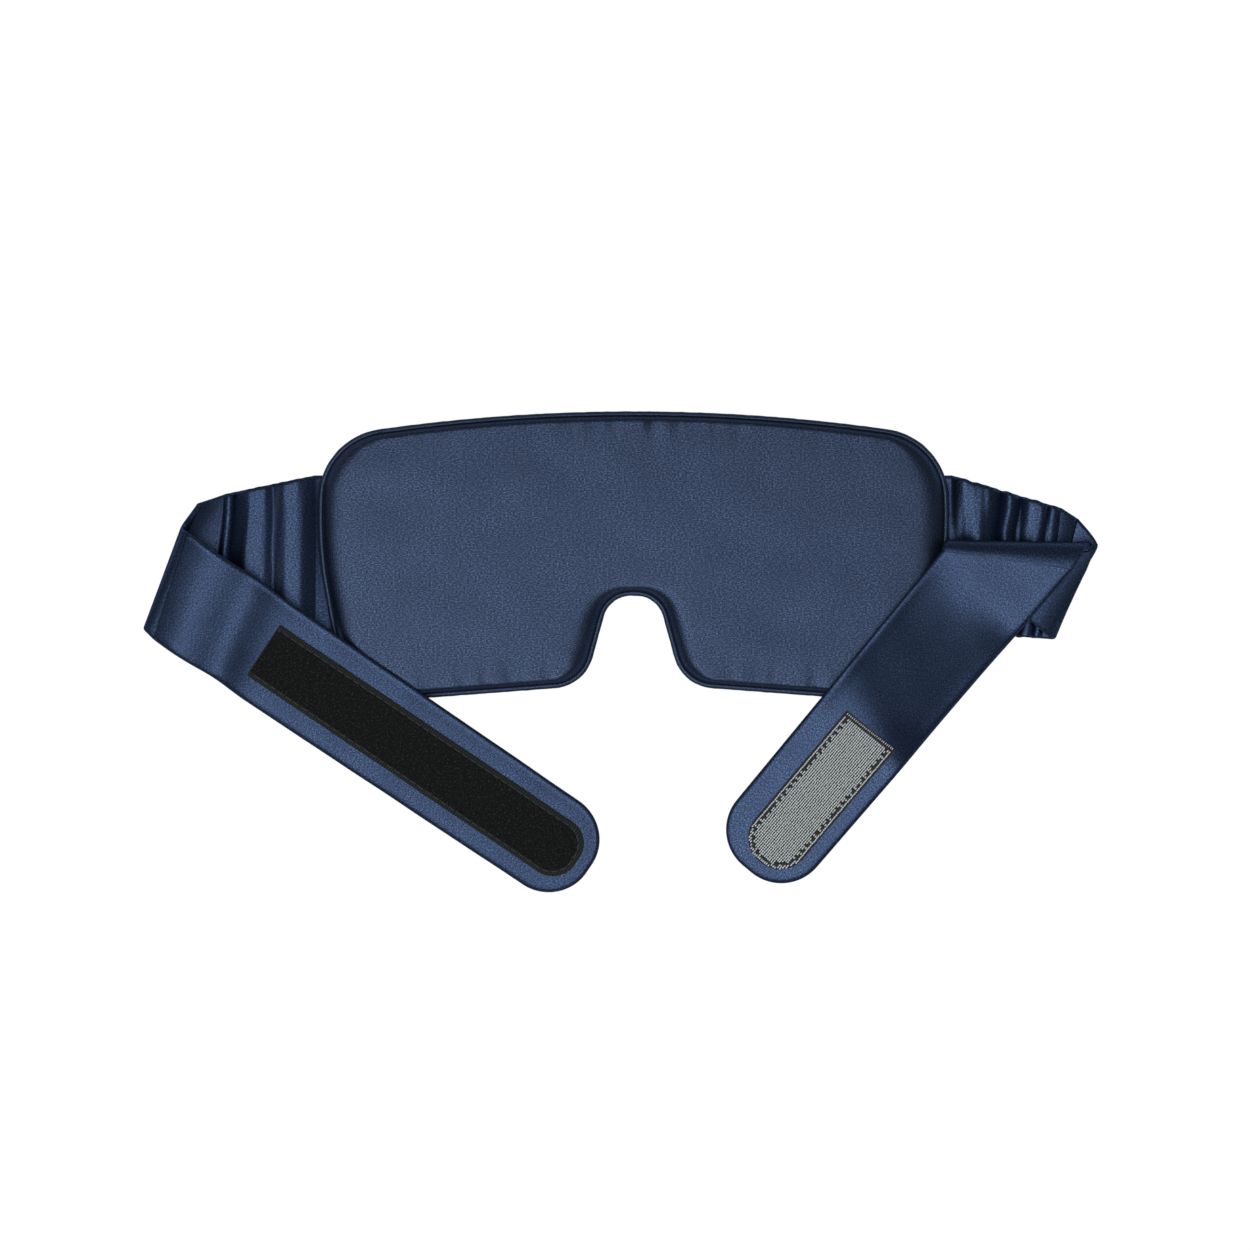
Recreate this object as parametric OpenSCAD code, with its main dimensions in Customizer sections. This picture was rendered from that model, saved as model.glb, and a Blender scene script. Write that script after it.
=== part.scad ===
// Padded satin sleep mask lying on its outer face, with both straps folded over it.
// X runs from temple to temple, Y towards the forehead, Z up towards the wearer's eyes.

/* [Pad outline] */
// Width across the side seams at the widest point
pad_w = 200; // [180:1:220]
// Height where the two slopes of the forehead edge would meet
brow_y = 49.8; // [46:0.2:54]
// Height of the temple corners
temple_y = 36; // [32:0.5:40]
// How far the temple corners lie inside the widest point
temple_in = 1.5; // [0:0.1:4]
// Height of the widest point
side_y = 3.5; // [0:0.5:6]
// How far the cheek corners lie inside the widest point
cheek_in = 8.8; // [4:0.2:14]
// Depth of the cheek corners below the middle
cheek_y = 46.4; // [44:0.2:50]
// Rounding of the temple corners
temple_r = 21; // [16:0.5:23]
// Rounding of the cheek corners
cheek_r = 26; // [18:1:34]

/* [Nose notch] */
// Half width of the notch at its mouth
mouth_x = 16.8; // [14:0.2:22]
// Depth of the mouth corners below the middle
mouth_y = 40.8; // [37:0.2:44]
// Rounding of the mouth corners
mouth_r = 12; // [10:0.5:15]
// Half width of the notch at its top
bridge_x = 8.9; // [8.2:0.1:12]
// Depth of the notch top below the middle
bridge_y = 11.8; // [6:0.2:18]
// Rounding of the notch top
bridge_r = 10.5; // [6:0.5:11]

/* [Pad section] */
// Thickness of the whole pad
pad_h = 9.6; // [8:0.2:14]
// Height of the seam above the table
seam_h = 4; // [3.6:0.1:5]
// Width of the rolled edge of the back panel
back_roll = 9; // [7:0.5:9.5]
// Width of the rolled edge of the front panel
front_roll = 7; // [6:0.5:9]
// Thickness of the satin panels
panel_t = 0.5; // [0.3:0.05:0.7]
// Thickness of the blackout lining
lining_t = 0.3; // [0.2:0.05:0.4]
// Width of the seam allowance that the wadding stops short of
allowance = 4; // [3.6:0.1:5]

/* [Piping] */
// Diameter of the covered piping
pipe_d = 1.9; // [1.6:0.1:2.2]
// Thickness of the piping cover
cover_t = 0.25; // [0.15:0.05:0.35]
// Width of the piping flange inside the seam
flange_w = 3; // [2:0.1:3.4]
// Thickness of the seam thread
thread_t = 0.3; // [0.2:0.05:0.4]

/* [Straps] */
// Width of the flat straps
strap_w = 36; // [33:0.5:38]
// Width of the strap ends at their tips
tip_w = 33.2; // [30:0.2:33.6]
// Rounding of the strap tips
tip_r = 15; // [8:0.5:15]
// Thickness of the flat straps
strap_t = 1.8; // [1.4:0.1:1.9]
// Thickness of the strap satin
satin_t = 0.4; // [0.25:0.05:0.5]
// Width of the gathered sleeves at the seam
root_w = 44.5; // [40:0.5:46]
// Width of the gathered sleeves where the elastic ends
join_w = 42.4; // [38:0.2:44]
// Length of the gathered sleeves
sleeve_l = 32; // [28:0.5:34]
// Height of the gathers
gather_h = 0.5; // [0.2:0.1:0.8]
// Number of gathers along a sleeve
gathers = 6; // [4:1:8]
// Width of the elastic
elastic_w = 28; // [20:1:32]
// Thickness of the elastic
elastic_t = 0.7; // [0.5:0.05:0.8]
// Height of the middle of the strap roots along the sides
root_y = 3; // [0:0.5:6]

/* [Left strap] */
// Distance from the left seam out to the fold
left_reach = 48; // [46:0.5:52]
// How far the left fold lies below the root
left_drop = 12; // [10:0.5:14]
// Direction of the folded left end
left_heading = -34; // [-37:0.5:-31]
// Length of the left end from its fold to its tip
left_l = 164; // [150:1:180]
// Length of the loop tape
loop_l = 121; // [90:1:121]

/* [Right strap] */
// Distance from the right seam out to the middle of the roll
right_reach = 21; // [20:0.5:23]
// How far the right roll lies below the root
right_drop = 0.5; // [0:0.5:2]
// Direction of the folded right end
right_heading = 230; // [228:0.5:232]
// Length of the right end from its roll to its tip
right_l = 135; // [130:1:150]
// Length of the hook tape
hook_l = 55; // [40:1:56]
// How far the hook tape lies off the middle of the strap
hook_off = 1.6; // [-2:0.2:2]

/* [Tapes] */
// Width of the hook and loop tapes
tape_w = 20; // [16:1:21]
// Thickness of the tape backing
tape_t = 0.6; // [0.4:0.05:0.8]
// Height of the pile and of the hooks
pile_h = 1.1; // [0.8:0.1:1.4]
// Width of the plain selvedge beside the pile
selvedge = 1.4; // [1:0.1:2]
// Space between the tape ends and the strap tips
tape_end = 4.6; // [3:0.2:7]
// Length of one stitch
stitch_l = 2.2; // [1.6:0.1:2.6]
// Space between stitch middles
stitch_pitch = 4; // [3.4:0.2:6]

/* [Clearances] */
// Space between layers of one body
sewn_gap = 0.1; // [0.05:0.05:0.15]
// Space between parts that move apart
move_gap = 0.3; // [0.3:0.05:0.5]

/* [Hidden] */
half_w = pad_w / 2;
back_rim = seam_h + 0.8;
front_rim = seam_h - 1.4;
back_rise = pad_h - back_rim;
pipe_r = pipe_d / 2;
pipe_out = pipe_r * 0.68;
hole_r = pipe_r - cover_t;
cord_r = hole_r - sewn_gap;
hinge_x = half_w + pipe_out + pipe_r + 0.55;
tab_z = front_rim + sewn_gap / 2;
tab_t = seam_h - pipe_r - sewn_gap / 2 - tab_z;
half_strap = strap_w / 2;
lie_z = strap_t / 2 + sewn_gap;
root_z = tab_z + tab_t - strap_t / 2;
over_z = pad_h + move_gap + strap_t / 2;
slack_z = lie_z + strap_t + move_gap;
core_t = strap_t - 2 * satin_t - 2 * sewn_gap;

function unit(v) = v / norm(v);
function toward(angle) = [cos(angle), sin(angle)];
function mix(a, b, f) = a + (b - a) * f;
function raised(p, z) = [p[0], p[1], z];

// A rounded corner between the sides to a and b, as points paired with outward normals
function arc_centre(a, p, b, r) =
  let (u = unit(a - p), w = unit(b - p))
  p + unit(u + w) * r / sin(acos(u * w) / 2);
function corner(a, p, b, r, steps) =
  let (
    u = unit(a - p),
    w = unit(b - p),
    c = arc_centre(a, p, b, r),
    bulge = sign(cross(u, w)),
    start = p + u * r / tan(acos(u * w) / 2) - c,
    first = atan2(start[1], start[0]),
    turn = 180 - acos(u * w)
  )
  [for (k = [0:steps])
    let (e = toward(first - bulge * turn * k / steps)) [c + e * r, e * bulge]];
function opening(a, p, b) = acos(unit(a - p) * unit(b - p)) / 2;
function tangent(a, p, b, r) = r / tan(opening(a, p, b));
function rounded(verts) =
  let (n = len(verts))
  [for (i = [0:n - 1])
    let (v = verts[i], a = verts[(i + n - 1) % n], b = verts[(i + 1) % n])
    each corner([a[0], a[1]], [v[0], v[1]], [b[0], b[1]], v[2], v[3])];

// Seam outline: corners as x, y, rounding, steps, clockwise from the forehead.
// The forehead edge and the sides are as round as the space between their corners allows.
brow_p = [0, brow_y];
temple_p = [half_w - temple_in, temple_y];
side_p = [half_w, side_y];
cheek_p = [half_w - cheek_in, -cheek_y];
mouth_p = [mouth_x, -mouth_y];
bridge_p = [bridge_x, -bridge_y];
mirror_brow = [-temple_p[0], temple_p[1]];
temple_room = tangent(brow_p, temple_p, side_p, temple_r);
cheek_room = tangent(side_p, cheek_p, mouth_p, cheek_r);
brow_room = norm(temple_p - brow_p) - temple_room - 1;
side_room = min(norm(side_p - temple_p) - temple_room, norm(side_p - cheek_p) - cheek_room) - 0.4;
brow_r = brow_room * tan(opening(mirror_brow, brow_p, temple_p));
side_r = side_room * tan(opening(temple_p, side_p, cheek_p));
half_outline = [
  [each temple_p, temple_r, 6],
  [each side_p, side_r, 2],
  [each cheek_p, cheek_r, 6],
  [each mouth_p, mouth_r, 4],
  [each bridge_p, bridge_r, 4]
];
outline = rounded([
  [0, brow_y, brow_r, 4],
  each half_outline,
  each [for (i = [4:-1:0]) let (v = half_outline[i]) [-v[0], v[1], v[2], v[3]]]
]);
function ring(inset, z) = [for (q = outline) raised(q[0] - q[1] * inset, z)];
function swept(section) =
  [for (q = outline) [for (s = section) raised(q[0] + q[1] * s[0], seam_h + s[1])]];

// Inset and height along the rolled edges, from the rim at 0 to the flat at 90
function back_edge(angle, in) =
  [in + (back_roll - in) * (1 - cos(angle)), back_rim + (back_rise - in) * sin(angle)];
function front_edge(angle, in) =
  [in + (front_roll - in) * (1 - cos(angle)), front_rim - (front_rim - in) * sin(angle)];
function rings(edges) = [for (e = edges) ring(e[0], e[1])];

// Triangles between neighbouring sections that each hold m points
function walls(count, m, start = 0) =
  [for (i = [0:count - 1]) for (j = [0:m - 1])
    let (a = start + i * m + j, b = start + i * m + (j + 1) % m)
    each [[a, b, b + m], [a, b + m, a + m]]];
function flipped(faces) = [for (f = faces) [for (i = [len(f) - 1:-1:0]) f[i]]];

// Faces look outwards whichever way round the sections run
function total(list, i = 0) = i < len(list) - 1 ? list[i] + total(list, i + 1) : list[i];
function facing(section) =
  total([for (i = [0:len(section) - 1]) cross(section[i], section[(i + 1) % len(section)])]);
function outwards(sections, faces) =
  facing(sections[0]) * (sections[1][0] - sections[0][0]) > 0 ? flipped(faces) : faces;

// Faces across the notched outline: the middle, then a fan from each end of the forehead edge
brow_end = 4;
nose_end = 31;
notched_faces = [
  [each [0:brow_end], nose_end, nose_end + 1],
  for (i = [brow_end + 1:nose_end - 1]) [brow_end, i, i + 1],
  for (i = [nose_end + 1:len(outline) - 2]) [0, i, i + 1]
];

// Solid through sections, closed by the given faces at each end or else by one face
module loft(sections, faces = []) {
  m = len(sections[0]);
  n = len(sections);
  ends = len(faces) > 0 ? faces : [[for (j = [0:m - 1]) j]];
  polyhedron(
    [for (s = sections) each s],
    outwards(sections, concat(
      walls(n - 1, m),
      flipped(ends),
      [for (f = ends) [for (j = f) (n - 1) * m + j]]
    )),
    convexity = 10
  );
}

// Endless solid through sections whose last meets the first
module hoop(sections) {
  m = len(sections[0]);
  n = len(sections);
  polyhedron(
    [for (s = sections) each s],
    [for (f = walls(n, m)) [for (i = f) i % (n * m)]],
    convexity = 10
  );
}

// Open tube between outer and inner sections
module tube(outer, inner) {
  m = len(outer[0]);
  n = len(outer);
  half = n * m;
  last = (n - 1) * m;
  polyhedron(
    concat([for (s = outer) each s], [for (s = inner) each s]),
    outwards(outer, concat(
      walls(n - 1, m),
      flipped(walls(n - 1, m, half)),
      [for (j = [0:m - 1]) let (k = (j + 1) % m)
        each [[j, half + j, half + k], [j, half + k, k]]],
      [for (j = [0:m - 1]) let (k = (j + 1) % m)
        each [[last + j, last + k, last + half + k], [last + j, last + half + k, last + half + j]]]
    )),
    convexity = 10
  );
}

// Strap lines across: low end and high end of each line, in plan
function across(mid, angle, length) = [mid - toward(angle) * length / 2, mid + toward(angle) * length / 2];
function level(line, z) = [raised(line[0], z), raised(line[1], z)];
function shifted(line, by) = [for (p = line) p + by];

left_root = across([-hinge_x, root_y], 90, root_w);
left_join = across([-hinge_x - sleeve_l * 0.985, root_y - sleeve_l * 0.145], 82, join_w);
right_root = across([hinge_x, root_y], 90, root_w);
right_join = across([hinge_x + sleeve_l * 0.985, root_y - sleeve_l * 0.285], 80, join_w);

// Left end: a plane leaning on the cheek corner of the pad
left_pivot = [-hinge_x - left_reach, root_y - left_drop];
right_cheek = arc_centre(side_p, cheek_p, mouth_p, cheek_r);
left_cheek = [-right_cheek[0], right_cheek[1]];
left_side = [-sin(left_heading), cos(left_heading)];
left_full = min(half_strap, (left_cheek - left_pivot) * left_side - cheek_r + back_roll);
left_sink = 0.6;
left_tilt = asin((over_z + left_l / 2 * sin(left_sink) - slack_z) / (left_full + half_strap));
left_z = slack_z + half_strap * sin(left_tilt);
function left_start(v) = 2.4 - 4.7 * v / half_strap;
function left_point(s, v) = [
  left_pivot[0] + s * cos(left_heading) - v * sin(left_heading) * cos(left_tilt),
  left_pivot[1] + s * sin(left_heading) + v * cos(left_heading) * cos(left_tilt),
  left_z - s * sin(left_sink) + v * sin(left_tilt)
];
left_fold = across(left_pivot + [2.5, 4.8], 67.4, strap_w * 1.236);

// Right end: level over the pad, then sloping to the table
right_pivot = [hinge_x + right_reach, root_y - right_drop];
right_dir = toward(right_heading);
right_side = [-right_dir[1], right_dir[0]];
right_bend = (right_cheek - right_pivot) * right_dir + cheek_r - back_roll + 0.5;
right_slope = asin((over_z - lie_z - 0.8) / (right_l - right_bend));
function right_start(v) = 4.5 - 9.5 * v / half_strap;
function right_point(s, v) = raised(right_pivot + right_dir * s + right_side * v, over_z);
right_fold = across(right_pivot + [14.6, -10.5], 76, strap_w * 1.1);
right_back = across(right_pivot + [17.7, -14.1], 63.7, strap_w * 0.934);
right_lip = across(right_pivot + [0.76, -0.83], -3, strap_w * 1.2456);
turn_low = slack_z + 0.2;
turn_tip = slack_z + 2.9;
turn_lip = over_z - 4.4;

// Half turn of a strap between two lines; the bulge is half the rise at each end, and at each end
// the drift from line to line comes late or early in the turn so that the inside never bunches up
function half_roll(from, to, out, steps, late = [1, 1], early = [1, 1]) =
  [for (k = [0:steps])
    let (
      angle = 180 * k / steps,
      normal = [out[0] * sin(angle), out[1] * sin(angle), -cos(angle)],
      ends = [for (e = [0, 1])
        let (
          r = (to[e][2] - from[e][2]) / 2,
          p = mix(from[e], to[e], 1 - pow(1 - pow(k / steps, late[e]), early[e]))
        )
        [p[0] + out[0] * r * sin(angle), p[1] + out[1] * r * sin(angle), from[e][2] + r * (1 - cos(angle))]]
    )
    cut(ends, normal)];
function cut(ends, normal) = let (h = normal * strap_t / 2) [ends[0] + h, ends[1] + h, ends[1] - h, ends[0] - h];

// Cross sections of a gathered sleeve; gathers fade out at both ends
across_steps = [0.02, 0.25, 0.5, 0.75, 0.98];
function sleeve_ring(line, thick, lift, inset) =
  let (
    along = line[1] - line[0],
    fit = inset / norm(along),
    at = [for (f = across_steps) line[0] + along * mix(fit, 1 - fit, f)]
  )
  [
    for (p = at) p + [0, 0, thick / 2 + lift],
    line[0] + along * (1 - fit) + [0, 0, lift / 2],
    for (i = [4:-1:0]) at[i] - [0, 0, thick / 2],
    line[0] + along * fit + [0, 0, lift / 2]
  ];
function sleeve_line(root, join, f) =
  let (z = mix(root_z, lie_z, f))
  [raised(mix(root[0], join[0], f), z), raised(mix(root[1], join[1], f), z)];
function gather(f) = gather_h * (1 - cos(360 * gathers * f)) / 2 * min(1, 5 * f, 5 * (1 - f));
sleeve_steps = 4 * gathers;

module gathered_sleeve(root, join) {
  stations = [for (k = [0:sleeve_steps]) k / sleeve_steps];
  tube(
    [for (f = stations) sleeve_ring(sleeve_line(root, join, f), strap_t, gather(f), 0)],
    [for (f = stations) sleeve_ring(sleeve_line(root, join, f), strap_t - 2 * satin_t, 0, satin_t)]
  );
}

module elastic_strip(root, join) {
  inset = (join_w - elastic_w) / 2;
  loft([for (f = [0.02, 0.5, 0.98])
    let (
      line = sleeve_line(root, join, f),
      along = unit(line[1] - line[0]) * inset,
      up = [0, 0, elastic_t / 2]
    )
    [line[0] + along + up, line[1] - along + up, line[1] - along - up, line[0] + along - up]]);
}

module flat_band(join, fold, out) {
  step = out * move_gap;
  start = shifted(join, step);
  end = shifted(fold, -step / 2);
  translate([0, 0, lie_z - strap_t / 2])
    linear_extrude(strap_t)
      polygon([start[0], start[1], end[1], end[0]]);
}

// Stitches across a band just beyond the end of its elastic
module cross_stitches(join, out) {
  along = join[1] - join[0];
  count = floor((norm(along) - 6) / stitch_pitch);
  for (i = [0:count - 1])
    translate(raised(mix(join[0], join[1], (i + 0.5) / count) + out * 1.4, lie_z + strap_t / 2 + sewn_gap))
      rotate([0, 0, atan2(along[1], along[0])])
        translate([-stitch_l / 2, -thread_t / 2, 0])
          cube([stitch_l, thread_t, thread_t]);
}

// Frames of the two strap ends: x along the end, y across it, z out of its upper face
module left_frame() {
  translate([left_pivot[0], left_pivot[1], left_z])
    rotate([left_tilt, left_sink, left_heading])
      children();
}
module right_frame() {
  translate([right_pivot[0], right_pivot[1], over_z])
    rotate([0, 0, right_heading])
      children();
}
module right_tip_frame() {
  right_frame()
    translate([right_bend, 0, 0])
      rotate([0, right_slope, 0])
        translate([-right_bend, 0, 0])
          children();
}

// Plan of a strap end: from its fold, or from a square cut, to the rounded tip
function end_plan(high, low, length, inset) =
  let (
    taper = (strap_w - tip_w) / 2,
    hh = half_strap - inset,
    tip = half_strap - taper - inset
  )
  [for (q = rounded([
    [low, -hh, 0.01, 1],
    [high, hh, 0.01, 1],
    [length - inset, tip, tip_r - inset, 6],
    [length - inset, -tip, tip_r - inset, 6]
  ])) q[0]];
function tape_plan(start, end, inset, r) =
  [for (q = rounded([
    [start + inset, inset - tape_w / 2, 0.01, 1],
    [start + inset, tape_w / 2 - inset, 0.01, 1],
    [end - inset, tape_w / 2 - inset, r - inset, 6],
    [end - inset, inset - tape_w / 2, r - inset, 6]
  ])) q[0]];

module plate(plan, thick) {
  linear_extrude(thick, center = true)
    polygon(plan);
}
module upper(z, thick) {
  translate([0, 0, strap_t / 2 + z + thick / 2])
    children();
}

// Stitches round a tape: along both sides, across its inner end and round its outer end
module tape_stitches(start, end, r) {
  line = tape_w / 2 - selvedge / 2;
  count = floor((end - start - r - selvedge) / stitch_pitch);
  rest = start + selvedge / 2 + stitch_l / 2;
  cross_count = floor((2 * line - stitch_l) / stitch_pitch);
  for (i = [0:count - 1], edge = [-line, line])
    translate([rest + i * stitch_pitch, edge, 0])
      cube([stitch_l, thread_t, thread_t], center = true);
  for (i = [0:cross_count - 1])
    translate([start + selvedge / 2 - thread_t, (i + 0.5 - cross_count / 2) * stitch_pitch, 0])
      cube([thread_t, stitch_l, thread_t], center = true);
  for (edge = [-1, 1], angle = [15:25:65])
    translate([end - r, edge * (tape_w / 2 - r), 0])
      rotate([0, 0, edge * angle])
        translate([r - selvedge / 2, 0, 0])
          cube([thread_t, stitch_l, thread_t], center = true);
}

loop_end = left_l - tape_end;
loop_start = loop_end - loop_l;
loop_r = tape_w / 2 - 1.5;
hook_end = right_l - tape_end;
hook_start = hook_end - hook_l;
hook_r = tape_w / 2 - 0.2;

module back_panel() {
  color([0.16, 0.2, 0.33])
    loft(rings([
      for (a = [90, 60, 35, 15, 0]) back_edge(a, 0),
      for (a = [0, 15, 35, 60, 90]) back_edge(a, panel_t)
    ]), notched_faces);
}

module front_panel() {
  color([0.16, 0.2, 0.33])
    loft(rings([
      for (a = [90, 55, 25, 0]) front_edge(a, 0),
      for (a = [0, 25, 55, 90]) front_edge(a, panel_t)
    ]), notched_faces);
}

module blackout_lining() {
  color([0.05, 0.05, 0.06])
    translate([0, 0, panel_t + sewn_gap / 2])
      linear_extrude(lining_t)
        polygon([for (q = outline) q[0] - q[1] * front_roll]);
}

module wadding() {
  skin = panel_t + sewn_gap;
  floor_z = panel_t + lining_t + sewn_gap;
  color([0.85, 0.85, 0.83])
    loft(rings([
      back_edge(90, skin),
      back_edge(60, skin),
      [allowance, back_edge(35, skin)[1]],
      [allowance, floor_z + 0.8],
      [front_roll, floor_z]
    ]), notched_faces);
}

module piping_cover() {
  arc = [for (a = [150:-60:-150]) a];
  lip = cover_t + 0.03;
  color([0.11, 0.14, 0.23])
    hoop(swept([
      [-flange_w, lip],
      [-0.4, lip],
      for (a = arc) [pipe_out, 0] + toward(a) * pipe_r,
      [-0.4, -lip],
      [-flange_w, -lip],
      [-flange_w, -0.03],
      [pipe_out - hole_r, -0.03],
      for (i = [len(arc) - 1:-1:0]) [pipe_out, 0] + toward(arc[i]) * hole_r,
      [pipe_out - hole_r, 0.03],
      [-flange_w, 0.03]
    ]));
}

module piping_cord() {
  color([0.8, 0.8, 0.78])
    hoop(swept([for (a = [150:-60:-150]) [pipe_out, 0] + toward(a) * cord_r]));
}

module seam_thread() {
  low = -cover_t - 0.03 - sewn_gap / 2;
  color([0.06, 0.07, 0.12])
    hoop(swept([
      [-1.2, low],
      [-1.2 + thread_t, low],
      [-1.2 + thread_t, low - thread_t],
      [-1.2, low - thread_t]
    ]));
}

module strap_tab(way) {
  inner = half_w - allowance + 0.6;
  outer = hinge_x - move_gap;
  translate([way > 0 ? inner : -outer, root_y - root_w / 2 + 1, tab_z])
    cube([outer - inner, root_w - 2, tab_t]);
}

module left_strap_tab() {
  color([0.13, 0.17, 0.28])
    strap_tab(-1);
}

module right_strap_tab() {
  color([0.13, 0.17, 0.28])
    strap_tab(1);
}

module left_sleeve() {
  color([0.14, 0.18, 0.3])
    gathered_sleeve(left_root, left_join);
}

module left_elastic() {
  color([0.75, 0.75, 0.73])
    elastic_strip(left_root, left_join);
}

module left_band() {
  color([0.14, 0.18, 0.3])
    flat_band(left_join, left_fold, [-1, 0]);
}

module left_cross_stitches() {
  color([0.06, 0.07, 0.12])
    cross_stitches(left_join, [-1, 0]);
}

module left_fold_roll() {
  to = [left_point(left_start(-half_strap), -half_strap), left_point(left_start(half_strap), half_strap)];
  out = toward(67.4 + 90);
  color([0.14, 0.18, 0.3])
    loft(half_roll(level(left_fold, lie_z), to, out, 12, late = [4, 1], early = [1, 3]));
}

module left_end_cover() {
  start = left_start(half_strap) + move_gap;
  low = left_start(-half_strap) + move_gap;
  color([0.16, 0.21, 0.36])
    left_frame()
      difference() {
        plate(end_plan(start, low, left_l, 0), strap_t);
        plate(end_plan(start - 2, low - 2, left_l, satin_t), strap_t - 2 * satin_t);
      }
}

module left_interlining() {
  color([0.82, 0.82, 0.8])
    left_frame()
      plate(end_plan(loop_start - 4, loop_start - 4, left_l, 1), core_t);
}

module loop_tape() {
  color([0.03, 0.03, 0.035])
    left_frame()
      upper(sewn_gap, tape_t)
        plate(tape_plan(loop_start, loop_end, 0, loop_r), tape_t);
}

module loop_pile() {
  color([0.02, 0.02, 0.02])
    left_frame()
      upper(2 * sewn_gap + tape_t, pile_h)
        plate(tape_plan(loop_start, loop_end, selvedge, loop_r), pile_h);
}

module loop_stitches() {
  color([0.05, 0.06, 0.08])
    left_frame()
      upper(2 * sewn_gap + tape_t, thread_t)
        tape_stitches(loop_start, loop_end, loop_r);
}

module right_sleeve() {
  color([0.14, 0.18, 0.3])
    gathered_sleeve(right_root, right_join);
}

module right_elastic() {
  color([0.75, 0.75, 0.73])
    elastic_strip(right_root, right_join);
}

module right_band() {
  color([0.14, 0.18, 0.3])
    flat_band(right_join, right_fold, [1, 0]);
}

module right_cross_stitches() {
  color([0.06, 0.07, 0.12])
    cross_stitches(right_join, [1, 0]);
}

right_turn_start = [raised(right_back[0], turn_low), raised(right_back[1], turn_tip)];
right_turn_end = [raised(right_lip[0], turn_lip), raised(right_lip[1], turn_lip + 0.6)];

module right_fold_roll() {
  color([0.12, 0.15, 0.25])
    loft(half_roll(level(right_fold, lie_z), right_turn_start, toward(-20), 12, early = [1.5, 1.5]));
}

module right_turn() {
  color([0.12, 0.15, 0.25])
    loft([for (f = [0.02, 0.5, 0.98])
      cut([for (e = [0, 1]) mix(right_turn_start[e], right_turn_end[e], f)], [0, 0, 1])]);
}

module right_lip_roll() {
  to = [right_point(right_start(-half_strap), -half_strap), right_point(right_start(half_strap), half_strap)];
  color([0.12, 0.15, 0.25])
    loft(half_roll(right_turn_end, to, toward(84), 12, late = [2, 2]));
}

module right_end_cover() {
  start = right_start(half_strap) + move_gap;
  low = right_start(-half_strap) + move_gap;
  inner_t = strap_t - 2 * satin_t;
  color([0.15, 0.19, 0.33])
    difference() {
      union() {
        right_frame()
          plate([[low, -half_strap], [right_bend, -half_strap], [right_bend, half_strap], [start, half_strap]], strap_t);
        right_tip_frame()
          plate(end_plan(right_bend, right_bend, right_l, 0), strap_t);
      }
      right_frame()
        plate([
          [low - 2, satin_t - half_strap],
          [right_bend, satin_t - half_strap],
          [right_bend, half_strap - satin_t],
          [start - 2, half_strap - satin_t]
        ], inner_t);
      right_tip_frame()
        plate(end_plan(right_bend, right_bend, right_l, satin_t), inner_t);
    }
}

module right_interlining() {
  core_start = max(hook_start - 4, right_bend + 1);
  color([0.82, 0.82, 0.8])
    right_tip_frame()
      plate(end_plan(core_start, core_start, right_l, 1), core_t);
}

module hook_tape() {
  color([0.1, 0.11, 0.12])
    right_tip_frame()
      translate([0, hook_off, 0])
        upper(sewn_gap, tape_t)
          plate(tape_plan(hook_start, hook_end, 0, hook_r), tape_t);
}

module hook_field() {
  color([0.62, 0.64, 0.64])
    right_tip_frame()
      translate([0, hook_off, 0])
        upper(2 * sewn_gap + tape_t, pile_h)
          plate(tape_plan(hook_start, hook_end, selvedge, hook_r), pile_h);
}

module hook_stitches() {
  color([0.05, 0.06, 0.08])
    right_tip_frame()
      translate([0, hook_off, 0])
        upper(2 * sewn_gap + tape_t, thread_t)
          tape_stitches(hook_start, hook_end, hook_r);
}

back_panel();
front_panel();
blackout_lining();
wadding();
piping_cover();
piping_cord();
seam_thread();
left_strap_tab();
right_strap_tab();
left_sleeve();
left_elastic();
left_band();
left_cross_stitches();
left_fold_roll();
left_end_cover();
left_interlining();
loop_tape();
loop_pile();
loop_stitches();
right_sleeve();
right_elastic();
right_band();
right_cross_stitches();
right_fold_roll();
right_turn();
right_lip_roll();
right_end_cover();
right_interlining();
hook_tape();
hook_field();
hook_stitches();
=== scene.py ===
import math

import bpy
import numpy as np
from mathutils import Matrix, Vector
from mathutils.geometry import delaunay_2d_cdt


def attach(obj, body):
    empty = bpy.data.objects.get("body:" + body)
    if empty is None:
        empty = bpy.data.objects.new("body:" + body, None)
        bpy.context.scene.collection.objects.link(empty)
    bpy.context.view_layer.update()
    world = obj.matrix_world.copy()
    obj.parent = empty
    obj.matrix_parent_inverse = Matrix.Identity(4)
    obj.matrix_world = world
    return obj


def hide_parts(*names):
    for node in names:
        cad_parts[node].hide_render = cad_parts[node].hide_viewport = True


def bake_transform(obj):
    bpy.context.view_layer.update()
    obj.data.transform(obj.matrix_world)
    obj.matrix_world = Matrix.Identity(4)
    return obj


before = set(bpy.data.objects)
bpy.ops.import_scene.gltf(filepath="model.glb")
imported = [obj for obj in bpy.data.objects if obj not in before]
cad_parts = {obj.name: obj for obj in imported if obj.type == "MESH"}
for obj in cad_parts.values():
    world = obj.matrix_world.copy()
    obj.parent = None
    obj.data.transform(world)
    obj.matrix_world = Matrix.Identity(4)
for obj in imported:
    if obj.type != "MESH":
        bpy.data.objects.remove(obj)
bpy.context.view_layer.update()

# Sizes are in millimetres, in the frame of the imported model, and become metres in add_mesh.
MM = 0.001
scene = bpy.context.scene


# ---- camera: straight above, the frame 400 mm across at the height of the mask
LOOK_X, LOOK_Y = -2.72, -22.72
EYE_HEIGHT = 2600.0
FRAME_WIDTH = 400.0
OBJECT_HEIGHT = 7.0
SENSOR = 36.0
CLIP_NEAR, CLIP_FAR = 0.01, 20

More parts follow.
